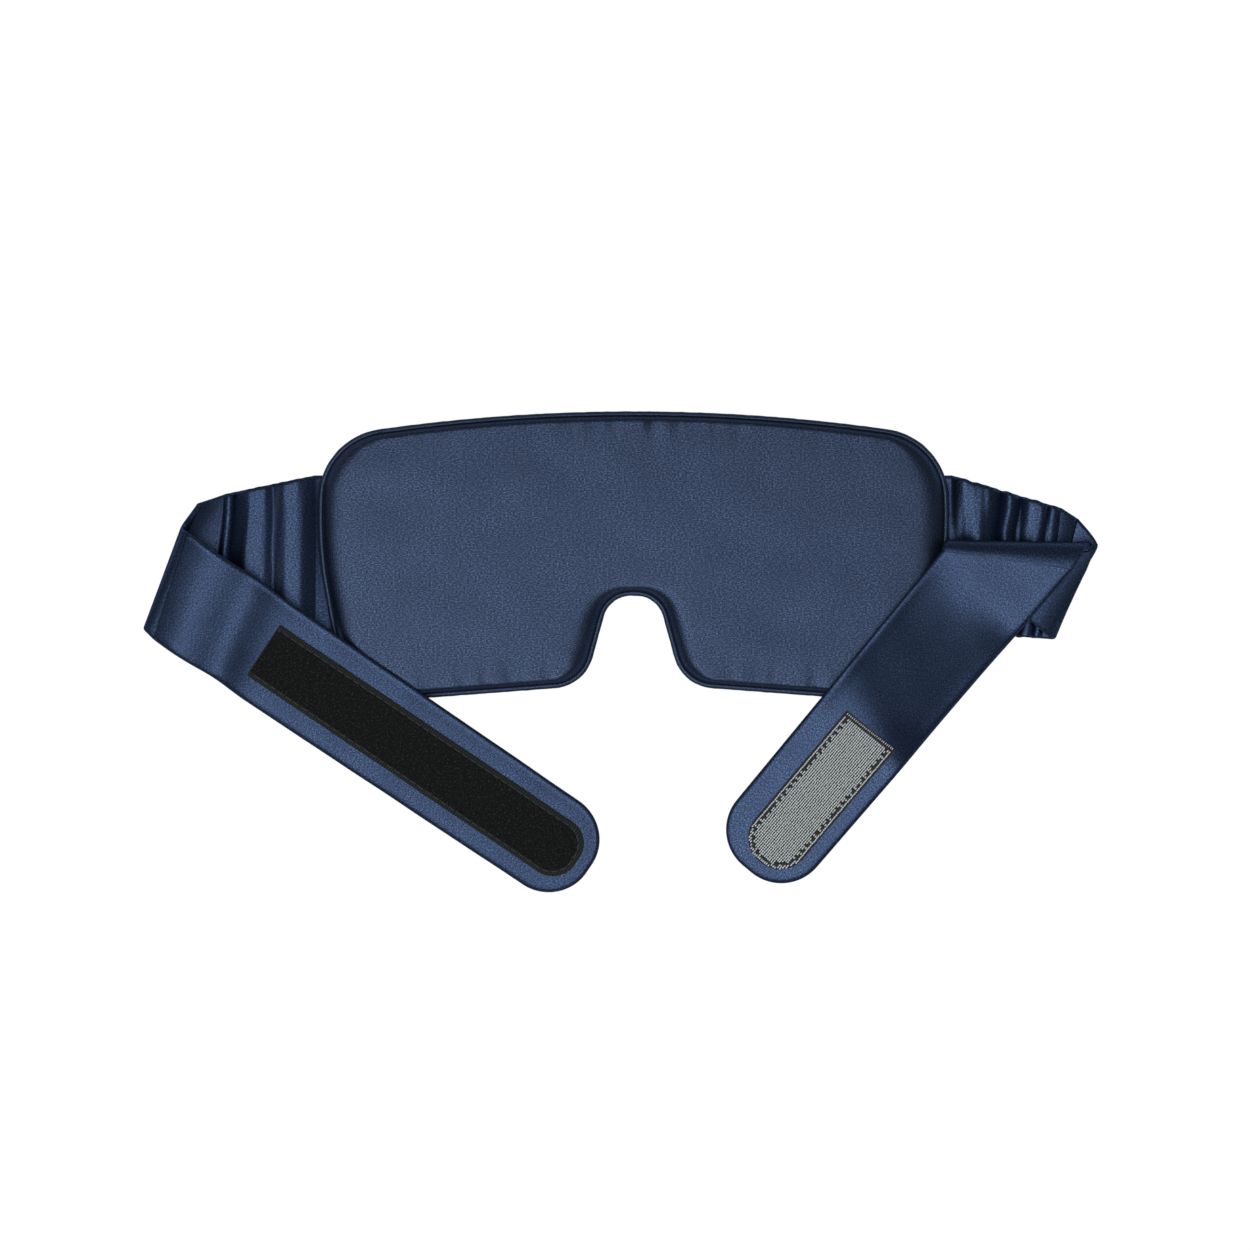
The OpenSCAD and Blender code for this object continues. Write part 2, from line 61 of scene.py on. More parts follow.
camera_data = bpy.data.cameras.new("camera")
camera = bpy.data.objects.new("camera", camera_data)
scene.collection.objects.link(camera)
camera.location = (LOOK_X * MM, LOOK_Y * MM, EYE_HEIGHT * MM)
camera_data.sensor_width = SENSOR
camera_data.lens = SENSOR * (EYE_HEIGHT - OBJECT_HEIGHT) / FRAME_WIDTH
camera_data.clip_start, camera_data.clip_end = CLIP_NEAR, CLIP_FAR
scene.camera = camera


# ---- materials
SHADER_NAMES = {
    "colour": "Base Color",
    "rough": "Roughness",
    "metal": "Metallic",
    "normal": "Normal",
    "gloss": "Specular IOR Level",
    "edge_tint": "Specular Tint",
    "sheen": "Sheen Weight",
    "sheen_rough": "Sheen Roughness",
    "sheen_tint": "Sheen Tint",
}
BAND_SCALE = 0.31831  # at which a band of the wave texture takes up about one cell


class Paint:
    """A material whose colour, roughness and bump come from textures laid out in the UV map, in metres."""

    def __init__(self, name):
        self.material = bpy.data.materials.new(name)
        self.material.use_nodes = True
        self.tree = self.material.node_tree
        self.shader = self.tree.nodes["Principled BSDF"]

    def feed(self, value, into):
        """Links another node's output to a socket, or sets a number or a colour on it."""
        if hasattr(value, "links"):
            self.tree.links.new(value, into)
        else:
            into.default_value = value if np.isscalar(value) else (*value, 1)

    def node(self, kind, inputs=(), **values):
        made = self.tree.nodes.new(kind)
        for key, value in values.items():
            setattr(made, key, value)
        for key, value in dict(inputs).items():
            self.feed(value, made.inputs[key])
        return made

    def texture(self, kind, cell_u, cell_v, turn, inputs):
        uv = self.node("ShaderNodeUVMap", uv_map="UVMap")
        mapping = self.node("ShaderNodeMapping", {"Vector": uv.outputs["UV"]})
        mapping.inputs["Rotation"].default_value = (0, 0, turn)
        mapping.inputs["Scale"].default_value = (1 / (cell_u * MM), 1 / (cell_v * MM), 1)
        return self.node(kind, {"Vector": mapping.outputs["Vector"], **inputs}).outputs["Fac"]

    def noise(self, cell_u, cell_v, detail):
        return self.texture("ShaderNodeTexNoise", cell_u, cell_v, 0.0, {"Scale": 1.0, "Detail": detail})

    def wave(self, cell, turn, distortion):
        inputs = {"Scale": BAND_SCALE, "Distortion": distortion}
        return self.texture("ShaderNodeTexWave", cell, cell, turn, inputs)

    def ramp(self, value, stops):
        made = self.node("ShaderNodeValToRGB", {"Fac": value})
        elements = made.color_ramp.elements
        while len(elements) < len(stops):
            elements.new(0.5)
        for element, (place, colour) in zip(elements, stops):
            element.position = place
            element.color = (*colour, 1)
        return made.outputs["Color"]

    def mix(self, a, b, share, blend="MIX"):
        inputs = {0: share, 6: a, 7: b}
        return self.node("ShaderNodeMix", inputs, data_type="RGBA", blend_type=blend).outputs[2]

    def scaled(self, value, low, high):
        inputs = {"Value": value, "To Min": low, "To Max": high}
        return self.node("ShaderNodeMapRange", inputs).outputs["Result"]

    def bump(self, value, height, before=None):
        inputs = {"Height": value, "Distance": height * MM}
        if before is not None:
            inputs["Normal"] = before
        return self.node("ShaderNodeBump", inputs).outputs["Normal"]

    def set(self, **values):
        for key, value in values.items():
            self.feed(value, self.shader.inputs[SHADER_NAMES[key]])
        return self.material


def times(colour, by):
    return tuple(c * by for c in colour)


def satin(name, colour, grain=0.36, cloud=16.0, rough=0.35, metal=0.9):
    """Satin: short floats whose glints are painted into the colour as bright specks, a fine twill line and
    slow clouding.
    """
    p = Paint(name)
    floats = p.noise(grain * 1.7, grain, detail=1.5)
    slow = p.noise(cloud, cloud, detail=2.0)
    # The floats' glints are painted into the colour: bright specks, with darker colour between them.
    painted_glint_specks = p.ramp(floats, [(0.3, times(colour, 0.34)), (0.5, colour), (0.72, times(colour, 2.6))])
    twill = p.wave(0.22, math.radians(38), distortion=0.6)
    return p.set(
        colour=p.mix(painted_glint_specks, times(colour, 0.84), p.scaled(slow, -0.25, 0.75)),
        rough=p.scaled(floats, rough + 0.1, rough - 0.08),
        metal=metal,
        gloss=0.3,
        edge_tint=(0.12, 0.16, 0.25),
        sheen=0.07,
        sheen_rough=0.4,
        sheen_tint=(0.45, 0.55, 0.8),
        normal=p.bump(twill, 0.012, p.bump(floats, 0.03, p.bump(slow, 0.10))),
    )


def woven(name, colour, pick, rough=0.8, contrast=0.5, height=0.06, sheen=0.2):
    """Plain weave: threads both ways, with an uneven tone."""
    p = Paint(name)
    along, across = (p.wave(pick, math.radians(turn), distortion=0.8) for turn in (0, 90))
    fuzz = p.noise(pick * 1.5, pick * 0.8, detail=3.0)
    weave = p.mix(along, across, 0.5, "MULTIPLY")
    tone = p.ramp(weave, [(0.1, times(colour, 1 - contrast)), (0.7, times(colour, 1 + contrast))])
    return p.set(
        colour=p.mix(tone, times(colour, 0.7), p.scaled(fuzz, -0.2, 0.7)),
        rough=p.scaled(fuzz, rough - 0.1, rough + 0.1),
        gloss=0.3,
        sheen=sheen,
        normal=p.bump(weave, height, p.bump(fuzz, height * 0.7)),
    )


def fibrous(name, colour, cell, rough=0.9, sheen=0.3, spread=0.4, glint=0.0):
    """Unspun or brushed fibre: tangled noise with no direction, and bright specks where it glints."""
    p = Paint(name)
    tangle = p.noise(cell, cell, detail=5.0)
    lumps = p.noise(cell * 7, cell * 7, detail=2.0)
    tone = p.ramp(tangle, [(0.3, times(colour, 1 - spread)), (0.7, times(colour, 1 + spread))])
    tone = p.mix(tone, times(colour, 0.8), p.scaled(lumps, -0.2, 0.8))
    if glint:
        # The bright specks are painted glints, added to the colour.
        spots = p.noise(cell * 1.7, cell * 1.7, detail=1.0)
        painted_glints = p.ramp(spots, [(0.54, (0, 0, 0)), (0.7, times(colour, glint))])
        tone = p.mix(tone, painted_glints, 1.0, "ADD")
    return p.set(
        colour=tone,
        rough=p.scaled(tangle, rough, rough - 0.2),
        gloss=0.25,
        sheen=sheen,
        normal=p.bump(tangle, 0.08, p.bump(lumps, 0.15)),
    )


def thread(name, colour, ply):
    """Twisted sewing thread."""
    p = Paint(name)
    twist = p.wave(ply, math.radians(35), distortion=0.3)
    fuzz = p.noise(ply * 0.6, ply * 0.6, detail=2.0)
    return p.set(
        colour=p.ramp(twist, [(0.1, times(colour, 0.5)), (0.8, times(colour, 1.6))]),
        rough=p.scaled(fuzz, 0.45, 0.65),
        gloss=0.4,
        sheen=0.2,
        normal=p.bump(twist, 0.05, p.bump(fuzz, 0.02)),
    )


def filament(name):
    """Pale plastic filament, a little milky and scratched."""
    p = Paint(name)
    streak = p.noise(0.5, 0.12, detail=2.0)
    return p.set(
        colour=p.ramp(streak, [(0.3, (0.76, 0.80, 0.80)), (0.7, (0.96, 1.0, 1.0))]),
        rough=p.scaled(streak, 0.25, 0.45),
        gloss=0.55,
        normal=p.bump(streak, 0.01),
    )


PAD_NAVY = (0.0290, 0.0425, 0.0775)
STRAP_NAVY = (0.0275, 0.0430, 0.0840)
PIPE_NAVY = (0.0330, 0.0490, 0.0860)
LOOP_GREY, LOOP_BLACK = (0.0125, 0.0160, 0.0150), (0.0015, 0.0020, 0.0016)
HOOK_GREY = (0.022, 0.026, 0.028)

PAD_SATIN = satin("pad_satin", PAD_NAVY)
STRAP_SATIN = satin("strap_satin", STRAP_NAVY, grain=0.34, cloud=11.0, rough=0.33)
PIPING_SATIN = satin("piping_satin", PIPE_NAVY, grain=0.26, cloud=6.0, rough=0.4, metal=0.8)
LINING = woven("lining_weave", (0.012, 0.012, 0.014), 0.5)
WADDING = fibrous("wadding_fibre", (0.75, 0.75, 0.73), 0.9)
CORD = thread("cotton_cord", (0.7, 0.7, 0.66), 1.2)
ELASTIC = woven("elastic_weave", (0.65, 0.65, 0.63), 0.9, height=0.15)
INTERLINING = fibrous("interlining_felt", (0.7, 0.7, 0.68), 0.4)
THREAD = thread("sewing_thread", (0.010, 0.013, 0.022), 0.35)
NAVY_THREAD = thread("navy_thread", (0.030, 0.038, 0.052), 0.35)
LOOP_BACK = woven("loop_tape_weave", LOOP_GREY, 0.9, rough=0.75, contrast=0.95, height=0.16, sheen=0.05)
LOOP_PILE = fibrous("loop_pile_fibre", LOOP_BLACK, 0.35, sheen=0.0, spread=0.8, glint=15.0)
HOOK_BACK = woven("hook_tape_weave", HOOK_GREY, 0.6, rough=0.6, contrast=0.6, height=0.1)
HOOKS = filament("hook_filament")


# ---- meshes
SMOOTH_UNDER = math.radians(55)
ARC_STEP = 0.3  # between the points of a rounded corner
ROW_SHARE = 0.866  # rows of a staggered grid, as a share of its spacing
STEEP = 0.95  # rise of a path above which it counts as upright
NEAR = 1e-3  # closer to an outline than this is on it


def add_mesh(name, shape, material, node, body=None):
    """A smooth mesh from a shape: points in millimetres, faces and UVs. It stands for a CAD node, and rides
    on a body if one is given."""
    points, faces, uv = shape
    mesh = bpy.data.meshes.new(name)
    mesh.from_pydata((np.asarray(points, float) * MM).tolist(), [], [[int(i) for i in f] for f in faces])
    mesh.validate()
    mesh.shade_smooth()
    mesh.set_sharp_from_angle(angle=SMOOTH_UNDER)
    layer = mesh.uv_layers.new(name="UVMap")
    index = np.zeros(len(mesh.loops), np.int32)
    mesh.loops.foreach_get("vertex_index", index)
    layer.data.foreach_set("uv", (np.asarray(uv, float)[index] * MM).astype(np.float32).ravel())
    mesh.materials.append(material)
    obj = bpy.data.objects.new(name, mesh)
    scene.collection.objects.link(obj)
    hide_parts(node)
    if body:
        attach(obj, body)
    return obj


def add_strap(name, shape, node, body=None):
    return add_mesh(name, shape, STRAP_SATIN, node, body)


def unit(v):
    v = np.asarray(v, float)
    return v / np.linalg.norm(v, axis=-1, keepdims=True)


def toward(angle):
    return np.array([math.cos(math.radians(angle)), math.sin(math.radians(angle))])


def run_length(path):
    """Length run along a path at each of its points."""
    return np.concatenate([[0], np.cumsum(np.linalg.norm(np.diff(path, axis=0), axis=1))])


def swell(x, power=2.0):
    """Round shoulder that rises from 0 to 1 as x does."""
    return (1 - (1 - np.clip(x, 0, 1)) ** power) ** (1 / power)


def waves(x, lengths, seed):
    """Uneven ripple of about unit height made of sines of the given wave lengths."""
    phases = np.random.default_rng(seed).uniform(0, 2 * math.pi, len(lengths))
    return sum(np.sin(2 * math.pi * x / w + p) for w, p in zip(lengths, phases)) / math.sqrt(len(lengths))


def hump(x, middle, width):
    return np.exp(-(((x - middle) / width) ** 2))


def ramp_up(x, length):
    """Share from 0 to 1 over a length."""
    return np.clip(x / length, 0, 1)


def eased(x):
    return x * x * (3 - 2 * x)


def rounded(corners, step):
    """Evenly spaced points, outward normals and lengths run, round corners as x, y, radius, clockwise."""
    points, normals = [], []
    for i, (x, y, r) in enumerate(corners):
        p = np.array([x, y])
        a, b = (np.array(corners[k % len(corners)][:2]) for k in (i - 1, i + 1))
        u, w = unit(a - p), unit(b - p)
        half = math.acos(u @ w) / 2
        centre = p + unit(u + w) * r / math.sin(half)
        bulge = np.sign(u[0] * w[1] - u[1] * w[0])
        start = p + u * r / math.tan(half) - centre
        first, turn = math.atan2(start[1], start[0]), math.pi - 2 * half
        for k in np.linspace(0, 1, max(3, math.ceil(r * turn / ARC_STEP))):
            e = np.array([math.cos(first - bulge * turn * k), math.sin(first - bulge * turn * k)])
            points.append(centre + e * r)
            normals.append(e * bulge)
    closed, away = (np.vstack([q, q[:1]]) for q in (np.array(points), np.array(normals)))
    length = run_length(closed)
    at = np.linspace(0, length[-1], max(8, round(length[-1] / step)), endpoint=False)
    even, out = (np.stack([np.interp(at, length, q[:, k]) for k in (0, 1)], 1) for q in (closed, away))
    return even, unit(out), at


def inside(points, outline):
    x, y = points[:, 0], points[:, 1]
    hit = np.zeros(len(points), bool)
    for (x0, y0), (x1, y1) in zip(outline, np.roll(outline, -1, axis=0)):
        if y0 != y1:
            hit ^= ((y0 > y) != (y1 > y)) & (x < (x1 - x0) * (y - y0) / (y1 - y0) + x0)
    return hit


def depth(points, outline):
    """Distance from points to an outline that is finely stepped, and the number of its nearest point."""
    far = np.linalg.norm(points[:, None] - outline[None], axis=2)
    near = far.argmin(1)
    return far[np.arange(len(points)), near], near


def filled(outline, normals, insets, spacing):
    """Flat points and triangles that fill an outline: rings that follow it, then a staggered grid."""
    low, high = outline.min(0), outline.max(0)
    rows = np.arange(low[1], high[1], spacing * ROW_SHARE)
    columns = np.arange(low[0], high[0], spacing)
    grid = np.array([(x + (i % 2) * spacing / 2, y) for i, y in enumerate(rows) for x in columns])
    grid = grid[inside(grid, outline)]
    grid = grid[depth(grid, outline)[0] > insets[-1] + spacing * 0.6]
    extra = np.vstack([*(outline - normals * d for d in insets), grid])
    extra = extra[depth(extra, outline)[0] > insets[0] * 0.6]
    points = [Vector(p) for p in np.vstack([outline, extra])]
    made = delaunay_2d_cdt(points, [], [list(range(len(outline)))], 1, 1e-5)
    return np.array([(v.x, v.y) for v in made[0]]), [list(f) for f in made[2]]


def plate(outline, normals, insets, spacing, top, bottom, place):
    """Closed piece over an outline: two skins that share the edge. top and bottom give heights from flat
    points, their depth behind the edge and their nearest point of it; place turns flat points and heights
    into points in the frame."""
    flat, faces = filled(outline, normals, insets, spacing)
    d, near = depth(flat, outline)
    inner = np.flatnonzero(d >= NEAR)
    upper = place(flat, top(flat, d, near))
    lower = place(flat[inner], bottom(flat[inner], d[inner], near[inner]))
    under = np.arange(len(flat))
    under[inner] = len(flat) + np.arange(len(inner))
    u, w = (flat[[f[k] for f in faces]] - flat[[f[0] for f in faces]] for k in (1, 2))
    if np.sum(u[:, 0] * w[:, 1] - u[:, 1] * w[:, 0]) < 0:
        faces = [f[::-1] for f in faces]
    all_faces = faces + [[under[i] for i in f[::-1]] for f in faces]
    return np.vstack([upper, lower]), all_faces, np.vstack([flat, flat[inner]])


def level(height):
    """A flat skin for plate."""
    return lambda p, d, near: np.full(len(p), height)


FINE_EDGE = np.array([0.0, 0.08, 0.25, 0.5, 0.85, 1.3, 2.0])


def edge_places(width, count, fine=FINE_EDGE):
    """Shares across a strap, close together at the two edges."""
    middle = np.linspace(fine[-1], width - fine[-1], count)
    return np.concatenate([fine[:-1], middle, width - fine[-2::-1]]) / width


def ribbon(middle, half, edge):
    """Closed strap from a grid of middle points, stations by places across, that thins to round edges."""
    count, wide = middle.shape[:2]
    normal = unit(np.cross(np.gradient(middle, axis=0), np.gradient(middle, axis=1)))
    run = np.zeros((count, wide))
    run[:, 1:] = np.cumsum(np.linalg.norm(np.diff(middle, axis=1), axis=2), axis=1)
    thick = half * swell(np.minimum(run, run[:, -1:] - run) / edge)[:, :, None]
    upper = (middle + normal * thick).reshape(-1, 3)
    lower = (middle - normal * thick)[:, 1:-1].reshape(-1, 3)
    top = np.arange(count * wide).reshape(count, wide)
    bottom = top.copy()
    bottom[:, 1:-1] = count * wide + np.arange(count * (wide - 2)).reshape(count, wide - 2)
    faces = []
    for i in range(count - 1):
        for j in range(wide - 1):
            faces.append([top[i, j], top[i + 1, j], top[i + 1, j + 1], top[i, j + 1]])
            faces.append([bottom[i, j], bottom[i, j + 1], bottom[i + 1, j + 1], bottom[i + 1, j]])
    for row, turn in ((0, 1), (count - 1, -1)):
        for j in range(wide - 1):
            f = [top[row, j], top[row, j + 1], bottom[row, j + 1], bottom[row, j]]
            faces.append([k for n, k in enumerate(f) if k not in f[:n]][::turn])
    along = run_length(middle[:, wide // 2])
    uv = np.stack([np.repeat(along[:, None], wide, 1), run], 2)
    return np.vstack([upper, lower]), faces, np.vstack([uv.reshape(-1, 2), uv[:, 1:-1].reshape(-1, 2)])


def tube(path, radius, sides, closed=False, twist=0.0, lobes=0, depth_share=0.0):
    """Round bar along a path, or a ring of it, of one radius or of one for each point; lobes make the strands
    of a cord."""
    path = np.asarray(path, float)
    n = len(path)
    ahead = unit(np.roll(path, -1, 0) - np.roll(path, 1, 0) if closed else np.gradient(path, axis=0))
    up = np.tile([0.0, 0.0, 1.0], (n, 1))
    up[np.abs(ahead[:, 2]) > STEEP] = [1.0, 0.0, 0.0]
    side = unit(np.cross(up, ahead))
    up = np.cross(ahead, side)
    length, radii = run_length(path)[:, None], np.broadcast_to(radius, n)[:, None]
    a = 2 * math.pi * np.arange(sides) / sides
    ring = side[:, None] * np.cos(a)[:, None] + up[:, None] * np.sin(a)[:, None]
    lobed = radii * (1 + depth_share * np.cos(lobes * a + twist * length))
    points = path[:, None] + ring * lobed[:, :, None]
    uv = np.stack([np.broadcast_to(length, (n, sides)), a * radii], 2)
    faces = []
    for i in range(n if closed else n - 1):
        row, following = i * sides, (i + 1) % n * sides
        for k in range(sides):
            after = (k + 1) % sides
            faces.append([row + after, following + after, following + k, row + k])
    if not closed:
        faces.append(list(range(sides))[::-1])
        faces.append([(n - 1) * sides + k for k in range(sides)])
    return points.reshape(-1, 3), faces, uv.reshape(-1, 2)


def joined(parts):
    """Several lots of points, faces and UVs as one."""
    points, faces, uv = [], [], []
    for p, f, t in parts:
        faces.extend([[i + len(points) for i in face] for face in f])
        points.extend(p)
        uv.extend(t)
    return np.array(points), faces, np.array(uv)


# ---- pad
PAD_W, BROW_Y, TEMPLE_Y, TEMPLE_IN, SIDE_Y = 200.0, 49.8, 36.0, 1.5, 3.5
CHEEK_IN, CHEEK_Y, TEMPLE_R, CHEEK_R = 8.8, 46.4, 21.0, 26.0
MOUTH, MOUTH_R = (16.8, -40.8), 12.0
BRIDGE, BRIDGE_R = (8.9, -11.8), 10.5
PAD_H, SEAM_H = 9.6, 4.0
SEAM_STEP = 1.5
PANEL_GAP = 0.45  # from the seam's height to each panel's edge
CROWN, CROWN_RUN = 0.35, 14.0
SLACK = 0.10
LEAST_ROLL, SIDE_ROLL, OUTER_ROLL, FRONT_ROLL = 1.4, 5.2, 1.2, 8.0  # depths of the rolled edges
BACK_SWELL, FRONT_SWELL = 2.3, 2.2
BACK_PUCKER, FRONT_PUCKER = 0.45, 0.15
SKIN, SKIN_RUN = 0.4, 1.4
PAD_INSETS = [0.35, 0.8, 1.4, 2.1, 3.0, 4.1, 5.5, 7.2, 9.2, 11.4]


def opening(a, p, b):
    """Half the angle of a corner."""
    a, p, b = (np.array(q, float) for q in (a, p, b))
    return math.acos(unit(a - p) @ unit(b - p)) / 2


def pad_corners():
    half = PAD_W / 2
    brow, temple = (0, BROW_Y), (half - TEMPLE_IN, TEMPLE_Y)
    side, cheek = (half, SIDE_Y), (half - CHEEK_IN, -CHEEK_Y)
    temple_room = TEMPLE_R / math.tan(opening(brow, temple, side))
    cheek_room = CHEEK_R / math.tan(opening(side, cheek, MOUTH))
    brow_room = math.dist(temple, brow) - temple_room - 1
    side_room = min(math.dist(side, temple) - temple_room, math.dist(side, cheek) - cheek_room) - 0.4
    brow_r = brow_room * math.tan(opening((-temple[0], temple[1]), brow, temple))
    side_r = side_room * math.tan(opening(temple, side, cheek))
    right = [(*temple, TEMPLE_R), (*side, side_r), (*cheek, CHEEK_R), (*MOUTH, MOUTH_R), (*BRIDGE, BRIDGE_R)]
    return [(*brow, brow_r)] + right + [(-x, y, r) for x, y, r in right[::-1]]


seam, seam_out, seam_run = rounded(pad_corners(), SEAM_STEP)


def pucker(near, d, seed):
    """Short gathers drawn in by the seam, strong at the middle of the brow and along the cheeks."""
    x, y = seam[near, 0], seam[near, 1]
    strength = 0.2 + 1.0 * hump(x, 6, 22) * (y > 20) + 0.9 * hump(np.abs(x), 48, 22) * (y < -30)
    ripple = waves(seam_run[near], [4.1, 6.7, 9.3, 13.1], seed)
    return ripple * strength * np.exp(-d / 3.0) * ramp_up(d, 0.8)


def roll_width(near):
    """Depth of the rolled edge: wide where it faces sideways, tight along the brow and the cheeks."""
    side = np.abs(seam_out[near, 0]) ** 1.5
    outer = ramp_up(np.abs(seam[near, 0]) - 45, 40)
    return LEAST_ROLL + (SIDE_ROLL + OUTER_ROLL * outer) * side


def back_height(p, d, near):
    x, y = p.T
    low = SEAM_H + PANEL_GAP
    roll = (PAD_H - CROWN - low) * swell(d / roll_width(near), BACK_SWELL)
    crown = CROWN * (1 - np.exp(-d / CROWN_RUN))
    slack = SLACK * waves(x + 0.3 * y, [31, 47, 73], 3) * waves(y - 0.2 * x, [27, 41, 65], 4)
    height = np.minimum(low + roll + crown + slack * ramp_up(d - 4, 12), PAD_H + 0.02)
    return height + BACK_PUCKER * np.minimum(pucker(near, d, 5), 0.3)


def front_height(p, d, near):
    wall = (SEAM_H - PANEL_GAP) * (1 - swell(d / FRONT_ROLL, FRONT_SWELL))
    return np.maximum(wall, 0.0) + FRONT_PUCKER * np.maximum(0, pucker(near, d, 6))


def stand(p, h):
    return np.column_stack([p, h])


def panel(name, node, spacing, top, bottom, crown):
    """One side of the pad. Its UVs lay the rolled edge out flat, so that the weave isn't drawn out on it."""
    points, faces, uv = plate(seam, seam_out, PAD_INSETS, spacing, top, bottom, stand)
    uv = uv + seam_out[depth(uv, seam)[1]] * np.abs(crown - points[:, 2:])
    obj = add_mesh(name, (points, faces, uv), PAD_SATIN, node, "pad")


def back_inside(p, d, near):
    return back_height(p, d, near) - SKIN * ramp_up(d, SKIN_RUN)


def front_inside(p, d, near):
    return front_height(p, d, near) + SKIN * ramp_up(d, SKIN_RUN)


panel("back_panel_satin", "back_panel", 2.6, back_height, back_inside, crown=PAD_H)
panel("front_panel_satin", "front_panel", 3.2, front_inside, front_height, crown=0.0)

# Inside the pad
FILL_STEP, FILL_IN, FILL_INSETS, FILL_SPACING = 2.2, 4.0, [0.6, 1.5, 3.0, 5.0], 4.0
FILL_LOW, FILL_EDGE, FILL_GAP = 0.95, 0.9, 0.2
LINING_IN, LINING_LOW, LINING_HIGH = 7.0, 0.52, 0.8


def fill_top(p, d, near):
    to_seam, nearest = depth(p, seam)
    return np.maximum(back_height(p, to_seam, nearest) - SKIN - FILL_GAP, SEAM_H + FILL_EDGE)


def fill_bottom(p, d, near):
    return FILL_LOW + 2.6 * np.exp(-d / 1.2)


edge, out, _ = rounded(pad_corners(), FILL_STEP)
shape = plate(edge - out * FILL_IN, out, FILL_INSETS, FILL_SPACING, fill_top, fill_bottom, stand)
wadding = add_mesh("wadding_fill", shape, WADDING, "wadding", "pad")
lining_edge = seam - seam_out * LINING_IN
shape = plate(lining_edge, seam_out, [0.5, 2.0], 5.0, level(LINING_HIGH), level(LINING_LOW), stand)
lining = add_mesh("blackout_cloth", shape, LINING, "blackout_lining", "pad")

# Piping: a bias strip drawn over its cord, with faint slanting creases
PIPE_R, CORD_R = 0.95, 0.58
PIPE_OUT = PIPE_R * 0.68
STITCH_IN, STITCH_DROP, STITCH_SAG, STITCH_R = 1.05, 0.48, 0.04, 0.13

pipe_line = stand(seam + seam_out * PIPE_OUT, np.full(len(seam), SEAM_H))
pipe_radii = PIPE_R * (1 + 0.035 * waves(seam_run, [3.3, 5.9, 8.7], 8))
shape = tube(pipe_line, pipe_radii, sides=14, closed=True, twist=1.3, lobes=2, depth_share=0.02)
add_mesh("piping_strip", shape, PIPING_SATIN, "piping_cover", "pad")
shape = tube(pipe_line, CORD_R, sides=9, closed=True, twist=1.1, lobes=3, depth_share=0.1)
add_mesh("piping_core", shape, CORD, "piping_cord", "pad")
seam_stitches = []
stitch_line = stand(seam - seam_out * STITCH_IN, np.full(len(seam), SEAM_H - STITCH_DROP))
sag = np.array([0, 0, STITCH_SAG])
for a, b in zip(stitch_line[:-1:2], stitch_line[1::2]):
    seam_stitches.append(tube([a, a * 0.7 + b * 0.3 - sag, a * 0.3 + b * 0.7 - sag, b], STITCH_R, sides=5))
add_mesh("seam_stitching", joined(seam_stitches), THREAD, "seam_thread", "pad")


# ---- straps
HINGE_X, ROOT_Y, ROOT_W, ROOT_Z, LIE_Z, OVER_Z = 102.146, 3.0, 44.5, 2.1, 1.0, 10.8
ROOT_HANG = 6.0  # how far a sleeve's gathered lower edge hangs below its tab
STRAP_HALF, STRAP_EDGE, ROLL_EDGE = 0.9, 1.2, 1.3
ELASTIC_HALF, ELASTIC_EDGE, ELASTIC_W = 0.3, 0.5, 28
HALF_STRAP, TIP_HALF, TIP_R = 18.0, 16.6, 15.0
LEFT_JOIN = ((-136.62, -22.63), (-130.72, 19.35))
RIGHT_JOIN = ((129.99, -27.0), (137.35, 14.76))
LEFT_FOLD = ((-156.196, -24.74), (-139.096, 16.34))
RIGHT_FOLD = ((132.956, -27.212), (142.536, 11.212))
TURN_START = ((133.397, -26.672, 3.3), (148.295, 3.472, 6.0))
TURN_END = ((99.4, 0.7, 6.4), (146.3, 1.1, 7.0))
SLEEVE_L = 32.0
TABLE_GAP = 0.04  # lowest point of a strap over the table
DEEPEST = -1.1  # lowest height of a gather
KNOT_STEP = 0.1
ELASTIC_RUN, ELASTIC_SPAN = (0.02, 0.98), (0.18, 0.82)  # shares of a sleeve's length and width
TAB_IN = 1.6  # how far a tab reaches inside the seam
TAB_UNDER, TAB_LOW, TAB_HIGH = 0.95, 1.15, 0.75  # a tab's place below the seam's height, inside the pad

# Heights of the gathers along each sleeve, from the pad to the cross seam
LEFT_GATHERS = [
    (-9, -1.1), (-2, -1.1), (5, 2), (6.4, 2.3), (10.6, 2.3), (14.8, 0.9), (17.6, 2.2), (18.6, 2.3),
    (23.6, 2.3), (25.4, 1.1), (28.8, -0.9), (30, 1.3), (30.6, 1.7), (31.4, 0.7), (32, 0.1), (36, 0),
]
RIGHT_GATHERS = [
    (-9, -1.1), (-1, -1), (0.4, -0.5), (2.4, 1.7), (3.2, 2.1), (6, 2.3), (10.8, 2.1), (12.4, 1),
    (14.4, -0.9), (15.4, 0.2), (16.6, 2), (17.4, 1.9), (18.8, 0.2), (20, -0.9), (21.6, 0.8), (22.8, 2),
    (26.6, 2.2), (28.4, 0.2), (29.8, 1.7), (31.6, 0),
]
RIGHT_GATHERS_LOW = [
    (-9, -1.1), (-1, -1), (0.4, -0.8), (4, 0.2), (7.2, 1.9), (8.4, 2.2), (9.6, 1.9), (12, 0.4),
    (14.2, -1), (15.2, 0.1), (16.4, 1.8), (17.2, 1.7), (19.6, -0.1), (21.6, -1), (24, 0.6), (25.8, 1.7),
    (27.6, 1.8), (29.6, 0), (31, 1.6), (32.6, 0),
]


def line_grid(a, b, stations, places):
    """Points between two cross lines given as low and high ends."""
    a, b = np.array(a, float), np.array(b, float)
    f, g = np.asarray(stations)[:, None, None], np.asarray(places)[None, :, None]
    low = a[0] + (b[0] - a[0]) * f
    high = a[1] + (b[1] - a[1]) * f
    return low + (high - low) * g


def with_z(line, z):
    return [(*p[:2], z) for p in line]


